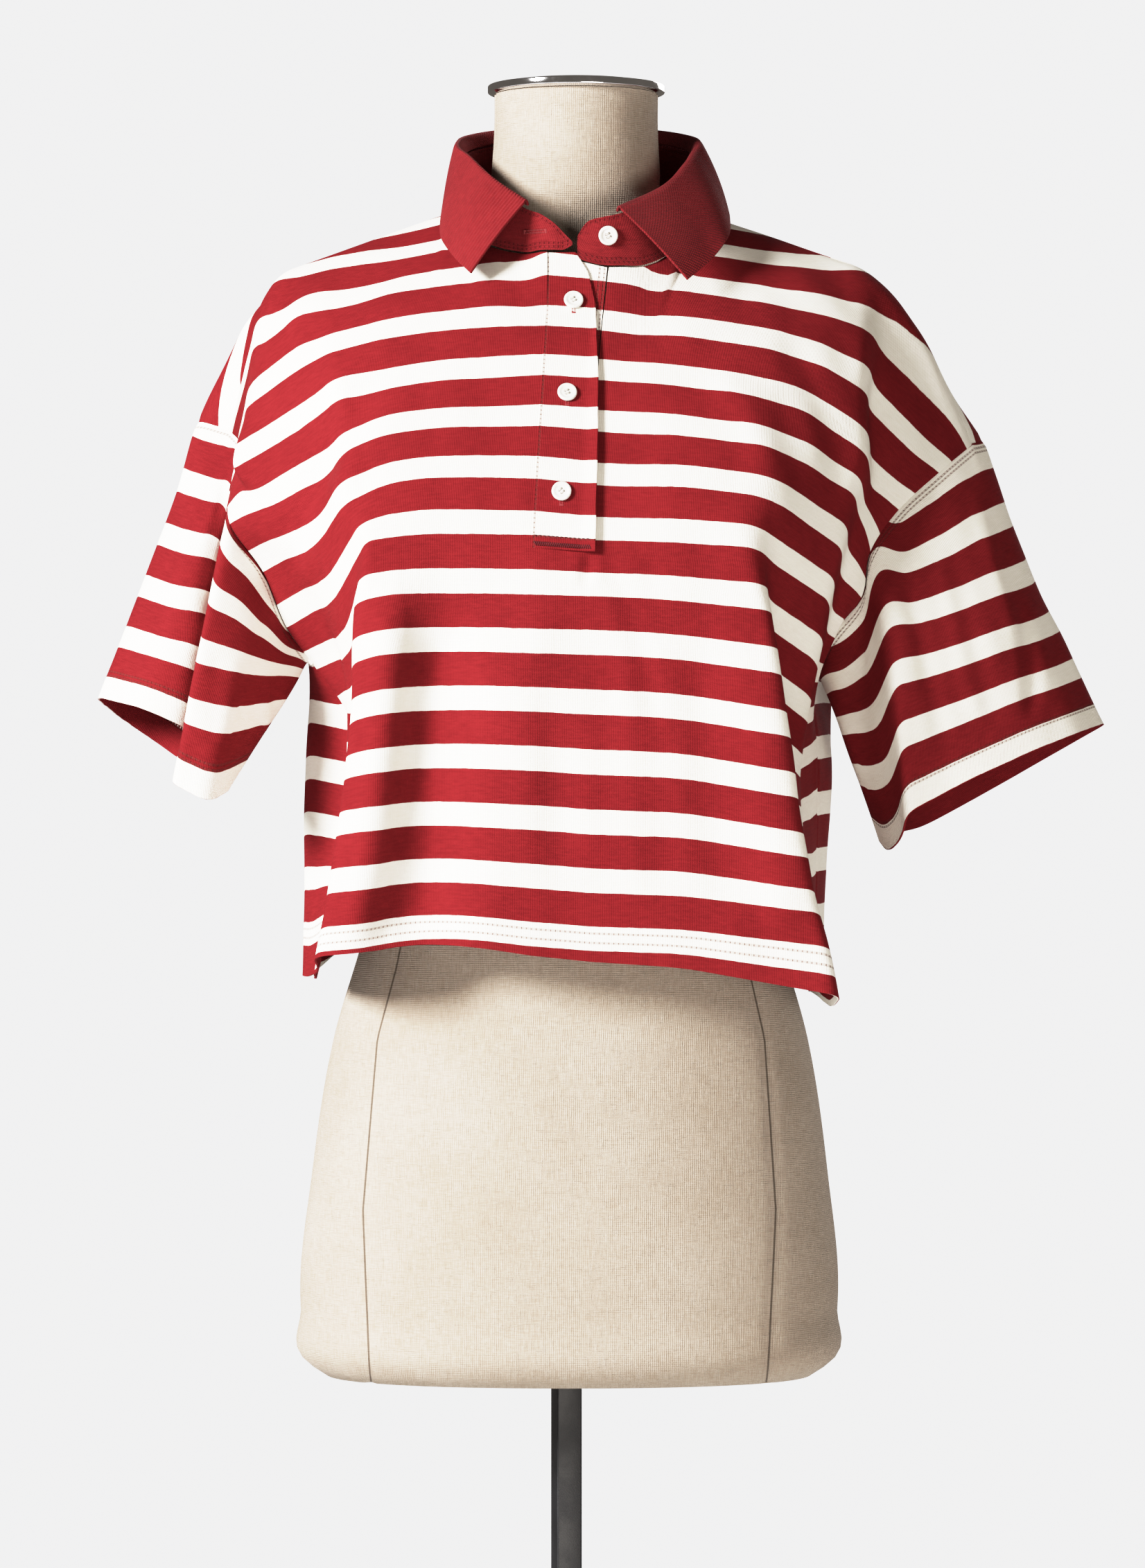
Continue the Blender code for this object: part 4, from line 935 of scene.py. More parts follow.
# a cream band's middle on the flank in the picture: x, y, slope and spacing of the bands
FLANK_LEFT = (441, 1348, 0.2, 80.9)
FLANK_RIGHT = (1184, 1240, -0.2, 80.6)
HEM_RAISED = 13                  # the back's hem rises behind the front's left corner
RAISED_FROM, RAISED_TO = (-172, -150), (-60, -20)    # x where the rise starts and ends
RAISED_FADE = 90                 # cloth height where nothing is left of it
SHOULDER_ROUND = 9               # rounding of every fold where it meets the shoulder seam
RUMPLE_HEIGHT, RUMPLE_SIZE = 1.1, 26.0
SIDE_DITCH = (0.45, 1.6)         # depth and width of the hollow beside a side seam
TOP_DITCH = 0.6                  # depth beside the shoulder seam
FORM_DITCH = (0.9, 2.6)          # depth and width beside the form's seams
BODY_ROWS_FRONT = (64, 9, 34, 42)    # rows up to underarm, slit, chest and shoulder
BODY_ROWS_BACK = (56, 16, 30, 38)

# name, width in pixels, height of the ridge (or depth of the trough, below 0),
# points in the photograph
FRONT_CREASES = (
    ("left crest", 30, 4.5, (
        (582, 800), (565, 900), (558, 1000), (548, 1100), (535, 1210), (520, 1295), (505, 1350),
        (494, 1400))),
    ("left trough", 58, -8.0, (
        (660, 810), (652, 900), (645, 1000), (636, 1100), (622, 1210), (608, 1295), (588, 1350),
        (570, 1400))),
    ("placket tuck", 8, -1.8, ((850, 770), (851, 795), (847, 825), (842, 850))),
    ("shoulder drape high", 16, 1.2, ((560, 345), (500, 380), (440, 430), (405, 480))),
    ("shoulder drape low", 18, -1.4, ((600, 372), (530, 420), (470, 470), (430, 540))),
    ("chest drape left", 20, 1.6, ((590, 470), (520, 520), (470, 590), (440, 670))),
    ("chest hollow left", 18, -1.8, ((560, 560), (500, 620), (450, 720), (420, 790))),
    ("bust drape left", 14, 1.4, ((520, 640), (490, 720), (455, 800), (425, 860))),
    ("placket pull", 14, -0.9, ((870, 790), (900, 860), (930, 960), (945, 1060))),
    ("bust roll right", 22, 1.4, ((1010, 520), (1080, 600), (1120, 700), (1130, 800))),
    ("bust hollow right", 18, -1.5, ((1120, 470), (1180, 560), (1205, 650), (1200, 740))),
    ("shoulder drape right", 20, 1.3, ((1100, 380), (1190, 430), (1235, 500), (1245, 580))),
    ("waist left", 24, -1.6, ((640, 900), (610, 1000), (590, 1120), (570, 1240))),
    ("waist left soft", 26, 1.2, ((700, 860), (690, 980), (680, 1120), (670, 1260))),
    ("waist middle", 30, -1.3, ((780, 900), (790, 1020), (800, 1160), (800, 1300))),
    ("waist right", 26, 1.3, ((900, 920), (905, 1060), (915, 1200), (930, 1330))),
    ("waist right hollow", 26, -1.4, ((1000, 900), (1010, 1040), (1020, 1180), (1040, 1320))),
    ("flank right", 40, 3.6, (
        (1080, 880), (1098, 1000), (1114, 1126), (1121, 1218), (1126, 1300), (1131, 1400))),
    ("hem ripple left", 18, -1.0, ((560, 1220), (555, 1290), (548, 1350), (545, 1372))),
    ("hem ripple right", 20, 1.0, ((1060, 1290), (1068, 1340), (1078, 1390), (1085, 1410))),
)
# the same for the back, with points (x, height) in millimetres
BACK_CREASES = (
    ("blade drape left", 12, 1.6, ((-150, 1330), (-120, 1270), (-70, 1210), (-20, 1170))),
    ("blade drape right", 12, 1.5, ((165, 1320), (130, 1262), (85, 1200), (30, 1165))),
    ("yoke hollow left", 11, -1.5, ((-170, 1280), (-135, 1225), (-95, 1160), (-60, 1090))),
    ("yoke hollow right", 12, -1.4, ((180, 1275), (150, 1215), (108, 1150), (70, 1085))),
    ("waist left", 14, -1.7, ((-120, 1150), (-112, 1080), (-106, 1010), (-110, 930))),
    ("waist mid left", 13, 1.5, ((-62, 1190), (-55, 1100), (-50, 1010), (-52, 930))),
    ("waist middle", 15, -1.5, ((-8, 1230), (0, 1130), (6, 1030), (2, 920))),
    ("waist mid right", 13, 1.4, ((50, 1180), (56, 1090), (60, 1000), (62, 925))),
    ("waist right", 14, -1.6, ((120, 1160), (116, 1080), (112, 1000), (116, 925))),
)
LEFT_SLEEVE_CREASES = (
    ("cap drape", 12, 1.2, ((300, 640), (280, 720), (262, 800), (250, 880))),
    ("cap hollow", 11, -1.3, ((330, 660), (318, 740), (300, 820), (288, 900))),
    ("fold sliver", 7, 1.3, ((392, 960), (386, 1000), (384, 1040), (384, 1070))),
    ("hem soft", 12, -1.0, ((320, 930), (312, 990), (306, 1050), (304, 1080))),
)
RIGHT_SLEEVE_CREASES = (
    ("cap drape", 12, 1.2, ((1400, 680), (1420, 760), (1440, 840), (1470, 940))),
    ("hem crease", 10, -1.6, ((1470, 860), (1482, 920), (1488, 980), (1486, 1045))),
    ("elbow ridge", 14, 1.4, ((1350, 780), (1370, 880), (1395, 980), (1420, 1070))),
    ("elbow hollow", 13, -1.5, ((1300, 800), (1322, 900), (1345, 1000), (1368, 1100))),
)


def settle(net, turned, creases, by_picture, seed, edges_fade):
    """Creases and unevenness, both fading toward the panel's edges."""
    out = face_ways(net, turned)
    if by_picture:
        places, facing = seen_at(net), np.clip(-out[:, :, 1] * 2.0, 0, 1)
    else:
        places, facing = net[:, :, [1, 3]], np.clip(out[:, :, 1] * 2.0, 0, 1)
    net = crease(net, out, places, creases, facing * edges_fade)
    return rumple(net, out * edges_fade[:, :, None], RUMPLE_HEIGHT, RUMPLE_SIZE, seed)


def flank_heights(net, column, flank):
    """Cloth heights beside a side seam led to the stripes that the picture shows there."""
    x, y, slope, spacing = flank
    seen, height = seen_at(net), net[:, :, 0]
    above = y + slope * (seen[:, :, 0] - x) - seen[:, :, 1]
    aim = BAND_START + BAND / 2 + REPEAT * above / spacing
    part = 1 - smooth_step(edge_distance(net, column), FLANK, FLANK * 3)
    if column:    # at the left the picture shows the back's cloth down to its hem
        part = part * smooth_step(height, *FLANK_START)
    part = part * (1 - smooth_step(height, *FLANK_END))
    aim += REPEAT * round(float(((height - aim) * part).sum() / part.sum() / REPEAT))
    net[:, :, 0] += (aim - height) * part
    return net


def shoulder_rounding(folds, rows):
    """Each fold's rounding, led to one value at the shoulder so that front and back meet."""
    own = np.array([fold[1] for fold in folds], dtype=float)[None, :]
    shared = np.where(own > 0, SHOULDER_ROUND, 0)
    part = smooth_step(rows, SHOULDER_ROW, TOP_ROW)[:, None]
    return own * (1 - part) + shared * part


def front_net(rows):
    way = (0, SHOULDER_WAY[0], SHOULDER_WAY[1])
    lines = fold_lines(FRONT, rows, (UNDERARM, UNDERARM), SHOULDER_FOLDS_FRONT, way)
    net, fold_column = round_across(lines, shoulder_rounding(FRONT, rows))
    net = meet_neck(net, rows, fold_column[6], fold_column[8])
    net = meet_neck(net, rows, fold_column[9], fold_column[11])
    return net, fold_column


def back_folds():
    """The back's fold lines with both seams added from the front's."""
    folds = []
    for fold, match, armhole in ((FRONT[0], SIDE_MATCH_LEFT, BACK_LEFT_ARMHOLE),
                                 (FRONT[-1], SIDE_MATCH_RIGHT, BACK_RIGHT_ARMHOLE)):
        match = np.array(match)
        back_heights = np.linspace(match[0, 0], match[-1, 0], 9)
        front_heights = np.interp(back_heights, match[:, 0], match[:, 1])
        side = np.column_stack((back_heights, curve_through(fold[2], front_heights)))
        folds.append((fold[0], fold[1], tuple(map(tuple, side)) + armhole))
    return (folds[0],) + BACK + (folds[1],)


def back_net(rows):
    folds = back_folds()
    way = (0, -SHOULDER_WAY[0], SHOULDER_WAY[1])
    lines = fold_lines(folds, rows, UNDERARM_BACK, SHOULDER_FOLDS_BACK, way)
    net, fold_column = round_across(lines, shoulder_rounding(folds, rows))
    net = meet_neck(net, rows, fold_column[4], fold_column[8])
    return net, fold_column


def body_rows(counts):
    """Rows spread over the four stretches of a body panel."""
    return np.unique(np.concatenate([np.linspace(number, number + 1, count)
                                     for number, count in enumerate(counts)]))


def tuck_under(net, out):
    """Lead the side and top edges on past their seams, under the panel that they join."""
    for edge, inside in ((0, 1), (-1, -2)):
        way = unit(net[:, edge, 1:] - net[:, inside, 1:])
        net[:, edge, 1:] += (way - out[:, edge]) * TUCKED
    net[-1, :, 1:] += (unit(net[-1, :, 1:] - net[-2, :, 1:]) - out[-1]) * TUCKED
    return net


def panel_ditches(net, out):
    """Sink a body panel beside its side seams and its shoulder seams."""
    for column in (0, -1):
        net = seam_ditch(net, out, edge_distance(net, column), *SIDE_DITCH)
    return seam_ditch(net, out, top_distance(net), TOP_DITCH)


def edges_fade(net):
    """0 at the seams and the top of a panel, 1 further in."""
    left, right, top = edge_distance(net, 0), edge_distance(net, -1), top_distance(net)
    nearest = np.minimum(np.minimum(left, right), top)
    return smooth_step(nearest, 0, SIDE_CREASES_FADE)


def make_front(knit):
    rows = body_rows(BODY_ROWS_FRONT)
    net, folds = front_net(rows)
    slit_row = int(np.argmin(abs(rows - 2)))
    columns = np.arange(net.shape[1])
    from_slit = np.maximum(folds[8] - columns, columns - folds[9]).clip(0) * CELL
    above = smooth_step(rows, 1.8, 2.0)[:, None]
    fade = edges_fade(net) * (1 - above * (1 - smooth_step(from_slit, 0, 14))[None, :])
    net = settle(net, False, FRONT_CREASES, True, 3.0, fade)
    net = panel_ditches(net, face_ways(net))

    def whole(row, column):
        return row < slit_row or not folds[8] <= column < folds[9]

    bm = net_grid(net, whole, middle=folds[8])
    item = give_wall(add_piece("shirt_front", bm, knit), CLOTH)
    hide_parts("front")
    return item


def make_back(knit):
    rows = body_rows(BODY_ROWS_BACK)
    net, folds = back_net(rows)
    net = flank_heights(net, 0, FLANK_LEFT)
    net = flank_heights(net, -1, FLANK_RIGHT)
    across = net[:, :, 1]
    raised = smooth_step(across, *RAISED_FROM) * (1 - smooth_step(across, *RAISED_TO))
    net[:, :, 3] += HEM_RAISED * raised * (1 - smooth_step(net[:, :, 0], 0, RAISED_FADE))
    net = settle(net, True, BACK_CREASES, False, 11.0, edges_fade(net))
    out = face_ways(net, True)
    net = tuck_under(panel_ditches(net, out), out)
    bm = net_grid(net, turned=True, middle=folds[6])
    item = give_wall(add_piece("shirt_back", bm, knit), CLOTH)
    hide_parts("back")
    return item


# -------------------------------------------------------------------- sleeves
def armhole_point(place, side):
    """Point on an armhole; up to TIP on the front's edge, beyond it on the back's."""
    front = FRONT[0][2] if side == "left" else FRONT[-1][2]
    if place <= TIP:
        return curve_through(front, [place])[0]
    folds = back_folds()
    edge = folds[0][2] if side == "left" else folds[-1][2]
    return curve_through(edge, [2 * TIP - place])[0]


def sleeve_net(table, side, rows):
    """A tube whose rows run from the sleeve's hem (0) to the armhole (1)."""
    lines, places = [], []
    for _, _, place, cap, hem, middle_height, middle in table:
        points = ((0, *hem), (middle_height, *middle), (cap, *armhole_point(place, side)))
        heights = np.interp(rows, (0, 1), (0, cap))
        lines.append(np.column_stack((heights, curve_through(points, heights))))
        places.append(place)
    rounding = np.array([line[1] for line in table], dtype=float)[None, :]
    rounding = rounding * (1 - 0.7 * smooth_step(rows, 0.6, 1.0))[:, None]
    net, fold_column = round_across(np.stack(lines, axis=1), rounding, True)
    net = net[:, :-1]
    whole = 2 * TIP - UNDERARM_BACK[0 if side == "left" else 1] - UNDERARM
    marks = fold_column + [fold_column[0] + net.shape[1]]
    spread = np.interp((np.arange(net.shape[1]) - fold_column[0]) % net.shape[1],
                       [mark - fold_column[0] for mark in marks], places + [UNDERARM + whole])
    weight = smooth_step(rows, 0.55, 1.0)[:, None]
    for column, place in enumerate(spread):
        shift = armhole_point(place, side) - net[-1, column, 1:]
        net[:, column, 1:] += weight * shift
    return np.concatenate((net, net[:, :1]), axis=1)


def eased(net, part, times):
    """Smooth a closed net across its columns, by a part at each row."""
    soft = net[:, :-1]
    for _ in range(times):
        soft = soft / 2 + (np.roll(soft, 1, axis=1) + np.roll(soft, -1, axis=1)) / 4
    soft = np.concatenate((soft, soft[:, :1]), axis=1)
    return net + (soft - net) * part


def make_sleeve(side, table, creases, shift, knit):
    """A sleeve whose stripes are shifted so that its hem falls where the picture shows it."""
    rows = np.linspace(0, 1, SLEEVE_ROWS)
    net = sleeve_net(table, side, rows)
    part = (smooth_step(rows, 0.3, 0.6) * (1 - smooth_step(rows, 0.9, 1.0)))[:, None, None]
    heights = eased(net[:, :, :1], smooth_step(rows, 0.0, 0.3)[:, None, None], 24)
    net = np.concatenate((heights, eased(net[:, :, 1:], part, 8)), axis=2)
    turned = side == "left"
    from_armhole = top_distance(net)
    fade = smooth_step(from_armhole, 0, SIDE_CREASES_FADE)
    seam_fade = np.minimum(edge_distance(net, 0), edge_distance(net, -1))
    fade = fade * smooth_step(seam_fade, 0, 8)
    net = settle(net, turned, creases, True, 7.0 if turned else 19.0, fade)
    net = seam_ditch(net, face_ways(net, turned), from_armhole, *SIDE_DITCH)
    way = unit(net[-2, :, 1:] - net[-1, :, 1:])
    net[-1, :, 1:] -= way * TUCKED + face_ways(net, turned)[-1] * TUCKED / 2
    bm = net_grid(net, turned=turned, closed=True, up_shift=shift, marks=from_armhole)
    item = give_wall(add_piece("shirt_sleeve_" + side, bm, knit), CLOTH)
    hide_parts("sleeve_" + side)
    return item


# --------------------------------------------------------------------- collar
def stand_edges(stations):
    """The stand's foot and crest at places counted along its stations."""
    smooth = along_table(STAND, stations)
    return smooth[:, :3] + np.array((0, 0, FOOT_RISE)), smooth[:, 3:]


def stand_point(station, part):
    """Point on the stand and the way its face looks there."""
    foot, crest = stand_edges([station - 0.2, station, station + 0.2])
    middle = foot + (crest - foot) * part
    return middle[1], unit(np.cross(middle[0] - middle[2], crest[1] - foot[1]))


def make_stand(knit):
    foot, crest = stand_edges(np.linspace(0, len(STAND) - 1, STAND_COLUMNS))
    tall = np.linalg.norm(crest - foot, axis=1)[:, None]
    parts = np.linspace(0, 1, STAND_ROWS)
    net = np.stack([np.column_stack((tall * part, foot + (crest - foot) * part))
                    for part in parts])
    from_top = np.stack([tall[:, 0] * (1 - part) for part in parts])
    item = add_piece("collar_stand_knit", net_grid(net, turned=True, marks=from_top), knit)
    give_wall(item, CLOTH)
    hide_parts("collar_stand")
    return item


def leaf_net(stations, over, down):
    """Rows from the leaf's seam over its roll and down to its lower edge."""
    smooth = along_table(LEAF, stations)
    seam, roll, edge = smooth[:, :3], smooth[:, 3:6], smooth[:, 6:]
    outward = roll - (*NECK_AXIS, 0)
    outward[:, 2] = 0
    outward = unit(outward)
    rise = roll + (0, 0, 0.8)
    top = (seam + rise) / 2 + (0, 0, 4)
    rows = [(1 - t) ** 2 * seam + 2 * t * (1 - t) * top + t * t * rise
            for t in np.linspace(0, 1, over)]
    along = np.linspace(0, 1, len(stations))
    bows = np.interp(stations, *zip(*LEAF_BOWS))
    for t in np.linspace(0, 1, down)[1:]:
        bow = bows * 4 * t * (1 - t) + 1.2 * t * np.sin(along * 21.0) * np.sin(along * 4.0)
        rows.append(rise + (edge - rise) * t + outward * bow[:, None])
    places = np.stack(rows)
    step = np.linalg.norm(np.diff(places, axis=0), axis=2)
    height = np.concatenate((np.zeros((1, places.shape[1])), np.cumsum(step, axis=0)))
    return np.concatenate((height[:, :, None], places), axis=2)


def make_leaf(knit):
    net = leaf_net(np.linspace(0, len(LEAF) - 1, LEAF_COLUMNS), *LEAF_ROWS)
    item = add_piece("collar_leaf_knit", net_grid(net, turned=True), knit)
    give_wall(item, LEAF_WALL)
    soften_rim(item, 0.5, 2)
    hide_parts("collar_leaf")
    return item


# -------------------------------------------------------------------- placket
def slit_side(fold, height):
    """Two points 4 mm apart on a side of the slit, led straight on beyond its top."""
    top = fold[-1][0] - 2
    pair = np.array([curve_through(fold, [min(height, top) + d])[0] for d in (-2, 2)])
    return pair + (pair[1] - pair[0]) / 4 * max(0, height - top)


def slit_point(height, across, lift):
    """Point over the placket's slit: cloth height, part of its width, lift off it."""
    left = slit_side(FRONT[8][2], height)
    right = slit_side(FRONT[9][2], height)
    edge = left + (right - left) * across
    out = unit(np.cross((right - left).mean(axis=0), edge[1] - edge[0]))
    return edge.mean(axis=0) + out * lift, out


def on_top_strip(height, across, lift):
    """Point off the top strip's face, and the way the face looks."""
    corners = [slit_point(height + dh, across + dx, PLACKET_LIFT * (across + dx))[0]
               for dh, dx in ((0, -0.1), (0, 0.1), (-4, 0), (4, 0))]
    out = unit(np.cross(corners[1] - corners[0], corners[3] - corners[2]))
    return slit_point(height, across, PLACKET_LIFT * across)[0] + out * lift, out


def strip_net(edges, lift_at, low, top_drop, top_slope, count, across):
    """A placket strip between two parts of the slit's width, which edges(height) gives.

    It begins low above the slit's end and stops top_drop under the neckline's left
    point, or more by top_slope for the whole width.
    """
    net = np.zeros((count, across, 4))
    top_left = FRONT[8][2][-1][0]
    for r, t in enumerate(np.linspace(0, 1, count)):
        first, final = edges(SLIT_END + t * (top_left - SLIT_END))
        for c, step in enumerate(np.linspace(0, 1, across)):
            part = first + (final - first) * step
            top = top_left + top_slope * part - top_drop
            height = SLIT_END + low + t * (top - SLIT_END - low)
            net[r, c, 0] = height
            net[r, c, 1:] = slit_point(height, part, lift_at(part))[0]
    return net


def top_strip_edges(height):
    return TOP_STRIP_START, float(np.interp(height, *zip(*PLACKET_EDGE)))


def top_strip_lift(part):
    """The strip's free edge stands off a little more than the rest."""
    return PLACKET_LIFT * part + 0.2 + 2.2 * max(0.0, part - 0.82) / 0.2


def make_placket(top_knit, under_knit):
    net = strip_net(top_strip_edges, top_strip_lift, -1.2, 0.6, 5.5, 100, 18)
    top = add_piece("placket_top_strip", net_grid(net), top_knit)
    give_wall(top, TOP_STRIP_WALL)
    soften_rim(top, 0.55, 3)
    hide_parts("placket_top")
    net = strip_net(lambda height: UNDER_STRIP,
                    lambda part: PLACKET_LIFT * part - UNDER_STRIP_SUNK, 1, 0.8, -5.0, 70, 12)
    under = add_piece("placket_under_strip", net_grid(net, middle=-1), under_knit)
    give_wall(under, CLOTH)
    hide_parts("placket_under")
    return top, under


# -------------------------------------------------------------------- buttons
BOX_LINE, ZIGZAG = 7.0, (3.0, 0.4)    # heights above the slit's end
HOLE_LENGTH = 15.0     # a buttonhole with its stitching
HOLE_BELOW = 1.9       # its centre lies this far below its button's
STAND_HOLE = (3.35, 0.5)         # station along the stand and part of its height
HOLE_WIDTH = 2.6       # over its stitches
THREAD = 0.55          # sewing thread
BUTTON_THREAD = 0.4
BUTTON_HOLES = 4
BUTTON_RIM = 0.8       # rounding of a button's rim
EYE_ACROSS = 1.5       # a button's sewing hole
EYE_OUT = 1.5625       # from the button's middle


def button_solid(turn):
    """A button about the origin, its face toward +Z, and what cuts its sewing holes."""
    radius, half = BUTTON_ACROSS / 2, BUTTON_THICK / 2
    profile = [(0, -half), (radius - 0.9, -half)]
    profile += [(radius - BUTTON_RIM + BUTTON_RIM * math.cos(a), half * math.sin(a))
                for a in np.radians(np.linspace(-90, 90, 9))]
    profile += [(radius - 1.6, half), (radius - 2.3, half - 0.45), (radius - 3.0, half - 0.62),
                (0, half - 0.66)]
    cutter = bmesh.new()
    for number in range(BUTTON_HOLES):
        angle = math.tau * (number + 0.5) / BUTTON_HOLES + turn
        place = Vector((math.cos(angle), math.sin(angle), 0)) * EYE_OUT * MM
        bmesh.ops.translate(cutter, vec=place, verts=add_rod(cutter, EYE_ACROSS / 2, 6, 18))
    return lathe(profile, 56), cutter


def frame_at(place, out, up=(0, 0, 1)):
    """A place in millimetres and a face's way as a matrix, its Y leaning upward."""
    z = Vector(out).normalized()
    x = Vector(up).cross(z).normalized()
    y = z.cross(x)
    turn = Matrix((x, y, z)).transposed().to_4x4()
    return Matrix.Translation(Vector(place) * MM) @ turn


def make_button(name, place, out, turn, shell, thread):
    body, cutter = button_solid(turn)
    at = frame_at(place, out)
    tool_mesh = bpy.data.meshes.new("hole_tool")
    cutter.to_mesh(tool_mesh)
    cutter.free()
    tool = bpy.data.objects.new("hole_tool", tool_mesh)
    bpy.context.scene.collection.objects.link(tool)
    item = add_piece(name + "_pearl", body, shell)
    cut = item.modifiers.new("holes", "BOOLEAN")
    cut.operation = "DIFFERENCE"
    cut.solver = "EXACT"
    cut.object = tool
    solid = work_in(item, cut)
    bpy.data.objects.remove(tool, do_unlink=True)
    solid.transform(at)
    solid.shade_smooth()
    solid.set_sharp_from_angle(angle=math.radians(45))
    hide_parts(name)

    sewing = bmesh.new()
    for side in (-1, 1):
        for strand in (-0.252, 0, 0.252):
            verts = add_rod(sewing, BUTTON_THREAD / 2, 2 * EYE_OUT)
            bmesh.ops.rotate(sewing, verts=verts, cent=(0, 0, 0),
                             matrix=Matrix.Rotation(math.pi / 2, 3, "Y"))
            spot = Vector((0, side * EYE_OUT * 0.72 + strand, BUTTON_THICK / 2 - 0.5))
            bmesh.ops.translate(sewing, verts=verts, vec=spot * MM)
    bmesh.ops.rotate(sewing, verts=sewing.verts, cent=(0, 0, 0),
                     matrix=Matrix.Rotation(turn, 3, "Z"))
    bmesh.ops.transform(sewing, verts=sewing.verts, matrix=at)
    add_piece(name + "_thread", sewing, thread)


def make_stitches(name, places, outs, thread):
    """Straight stitches; each pair of places is the two ends of one."""
    bm = bmesh.new()
    for first, second, out in zip(places[::2], places[1::2], outs[::2]):
        verts = add_rod(bm, THREAD / 2, float(np.linalg.norm(second - first)))
        middle = (first + second) / 2 + out * THREAD / 4
        turn = Vector(second - first).to_track_quat("Z", "Y").to_matrix().to_4x4()
        bmesh.ops.transform(bm, verts=verts,
                            matrix=Matrix.Translation(Vector(middle) * MM) @ turn)
    add_piece(name, bm, thread)


def strip_stitches(thread):
    """The box's upper line and the zigzag that close the strip's foot."""
    def lifted(height, part):
        place, out = slit_point(height, part, top_strip_lift(part))
        return place + out * 0.1, out

    rows = [(BOX_LINE, part) for part in np.linspace(0.02, 0.98, 27)[:26]]
    rows += [(ZIGZAG[number % 2], part)
             for number, part in enumerate(np.repeat(np.linspace(0.02, 0.98, 30), 2)[1:-1])]
    places, outs = zip(*[lifted(SLIT_END + height, part) for height, part in rows])
    make_stitches("placket_stitches", places, outs, thread)


def make_buttonhole(name, place, out, long_way, thread):
    """Satin stitches round a slit, as short bars lying side by side."""
    bm = bmesh.new()
    straight = HOLE_LENGTH - HOLE_WIDTH
    count = int(straight / 0.42)
    for number in range(count):
        side = 1 if number % 2 else -1
        y = -straight / 2 + straight * number / (count - 1)
        add_bar(bm, (HOLE_WIDTH / 2 - 0.25, 0.55, 0.35), (side * (HOLE_WIDTH / 4 + 0.15), y, 0.1))
    for end in (-1, 1):
        for number in range(6):
            add_bar(bm, (0.45, 1.3, 0.38),
                    ((number - 2.5) * 0.45, end * (HOLE_LENGTH / 2 - 0.5), 0.12))
    round_edges(bm, 0.1, 1)
    bmesh.ops.transform(bm, verts=bm.verts, matrix=frame_at(place, out, long_way))
    add_piece(name, bm, thread)


# ----------------------------------------------------------------- dress form
FORM_AROUND = 144
UNDER_CLOTH = 1.2      # the form's cloth lies this much inside its solid under the shirt
# princess seams: height, x of the left one, x of the right one
PRINCESS = ((646, -127, 130), (759, -132, 136), (870, -123, 129), (915, -111, 119),
            (1010, -92, 100), (1200, -84, 92), (1320, -98, 108), (1377, -108, 118))


def form_turns(heights, half, power, axis):
    """Angles of the form's columns, with one column on each princess seam."""
    table = np.array(PRINCESS, dtype=float)
    turns = []
    for column in (1, 2):
        x = np.interp(heights, table[:, 0], table[:, column])
        cosine = np.clip((x - axis) / half, -0.99, 0.99)
        turns.append(np.arccos(np.sign(cosine) * abs(cosine) ** (power / 2)))
    left, right = turns
    marks = np.stack((0 * left, right, left, math.tau - left, math.tau - right,
                      0 * left + math.tau), axis=1)
    places = np.round(marks.mean(axis=0) * FORM_AROUND / math.tau)
    angles = np.stack([np.interp(np.arange(FORM_AROUND + 1), places, row) for row in marks])
    return angles, places[1:-1].astype(int)


def form_net():
    """The form's net and the columns that its princess seams follow."""
    heights = np.concatenate((np.arange(646, 1380, 6.0), np.arange(1380, 1491, 2.5)))
    table = curve_through(FORM, heights)
    span = FORM[-1][0] - FORM[0][0]
    axis = FORM_SHIFT[0] + (FORM_SHIFT[1] - FORM_SHIFT[0]) * (heights - FORM[0][0]) / span
    tuck = UNDER_CLOTH * smooth_step(heights, 1150, 1200) * (1 - smooth_step(heights, 1425, 1450))
    turns, seams = form_turns(heights, table[:, 0], table[:, 3], axis)
    net = np.zeros((len(heights), FORM_AROUND + 1, 4))
    for r, (half, front, back, power) in enumerate(table):
        cosine, sine = np.cos(turns[r]), np.sin(turns[r])
        net[r, :, 0] = heights[r]
        net[r, :, 1] = axis[r] + (half - tuck[r]) * np.sign(cosine) * abs(cosine) ** (2 / power)
        depth = np.where(sine > 0, back - tuck[r], -front - tuck[r])
        net[r, :, 2] = depth * np.sign(sine) * abs(sine) ** (2 / power)
        net[r, :, 3] = heights[r]
    return net, seams


def make_form(linen):
    net, seams = form_net()
    around = edge_distance(net, 0)
    nearest = np.min([abs(around - around[:, [column]]) for column in seams], axis=0)
    net = seam_ditch(net, face_ways(net), nearest, *FORM_DITCH)
    bm = net_grid(net, closed=True, marks=nearest, middle=3 * FORM_AROUND // 4)
    bmesh.ops.holes_fill(bm, edges=[edge for edge in bm.edges if edge.is_boundary], sides=0)
    item = add_piece("form_linen", bm, linen)
    item.data.set_sharp_from_angle(angle=math.radians(50))
    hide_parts("dress_form")
    return item


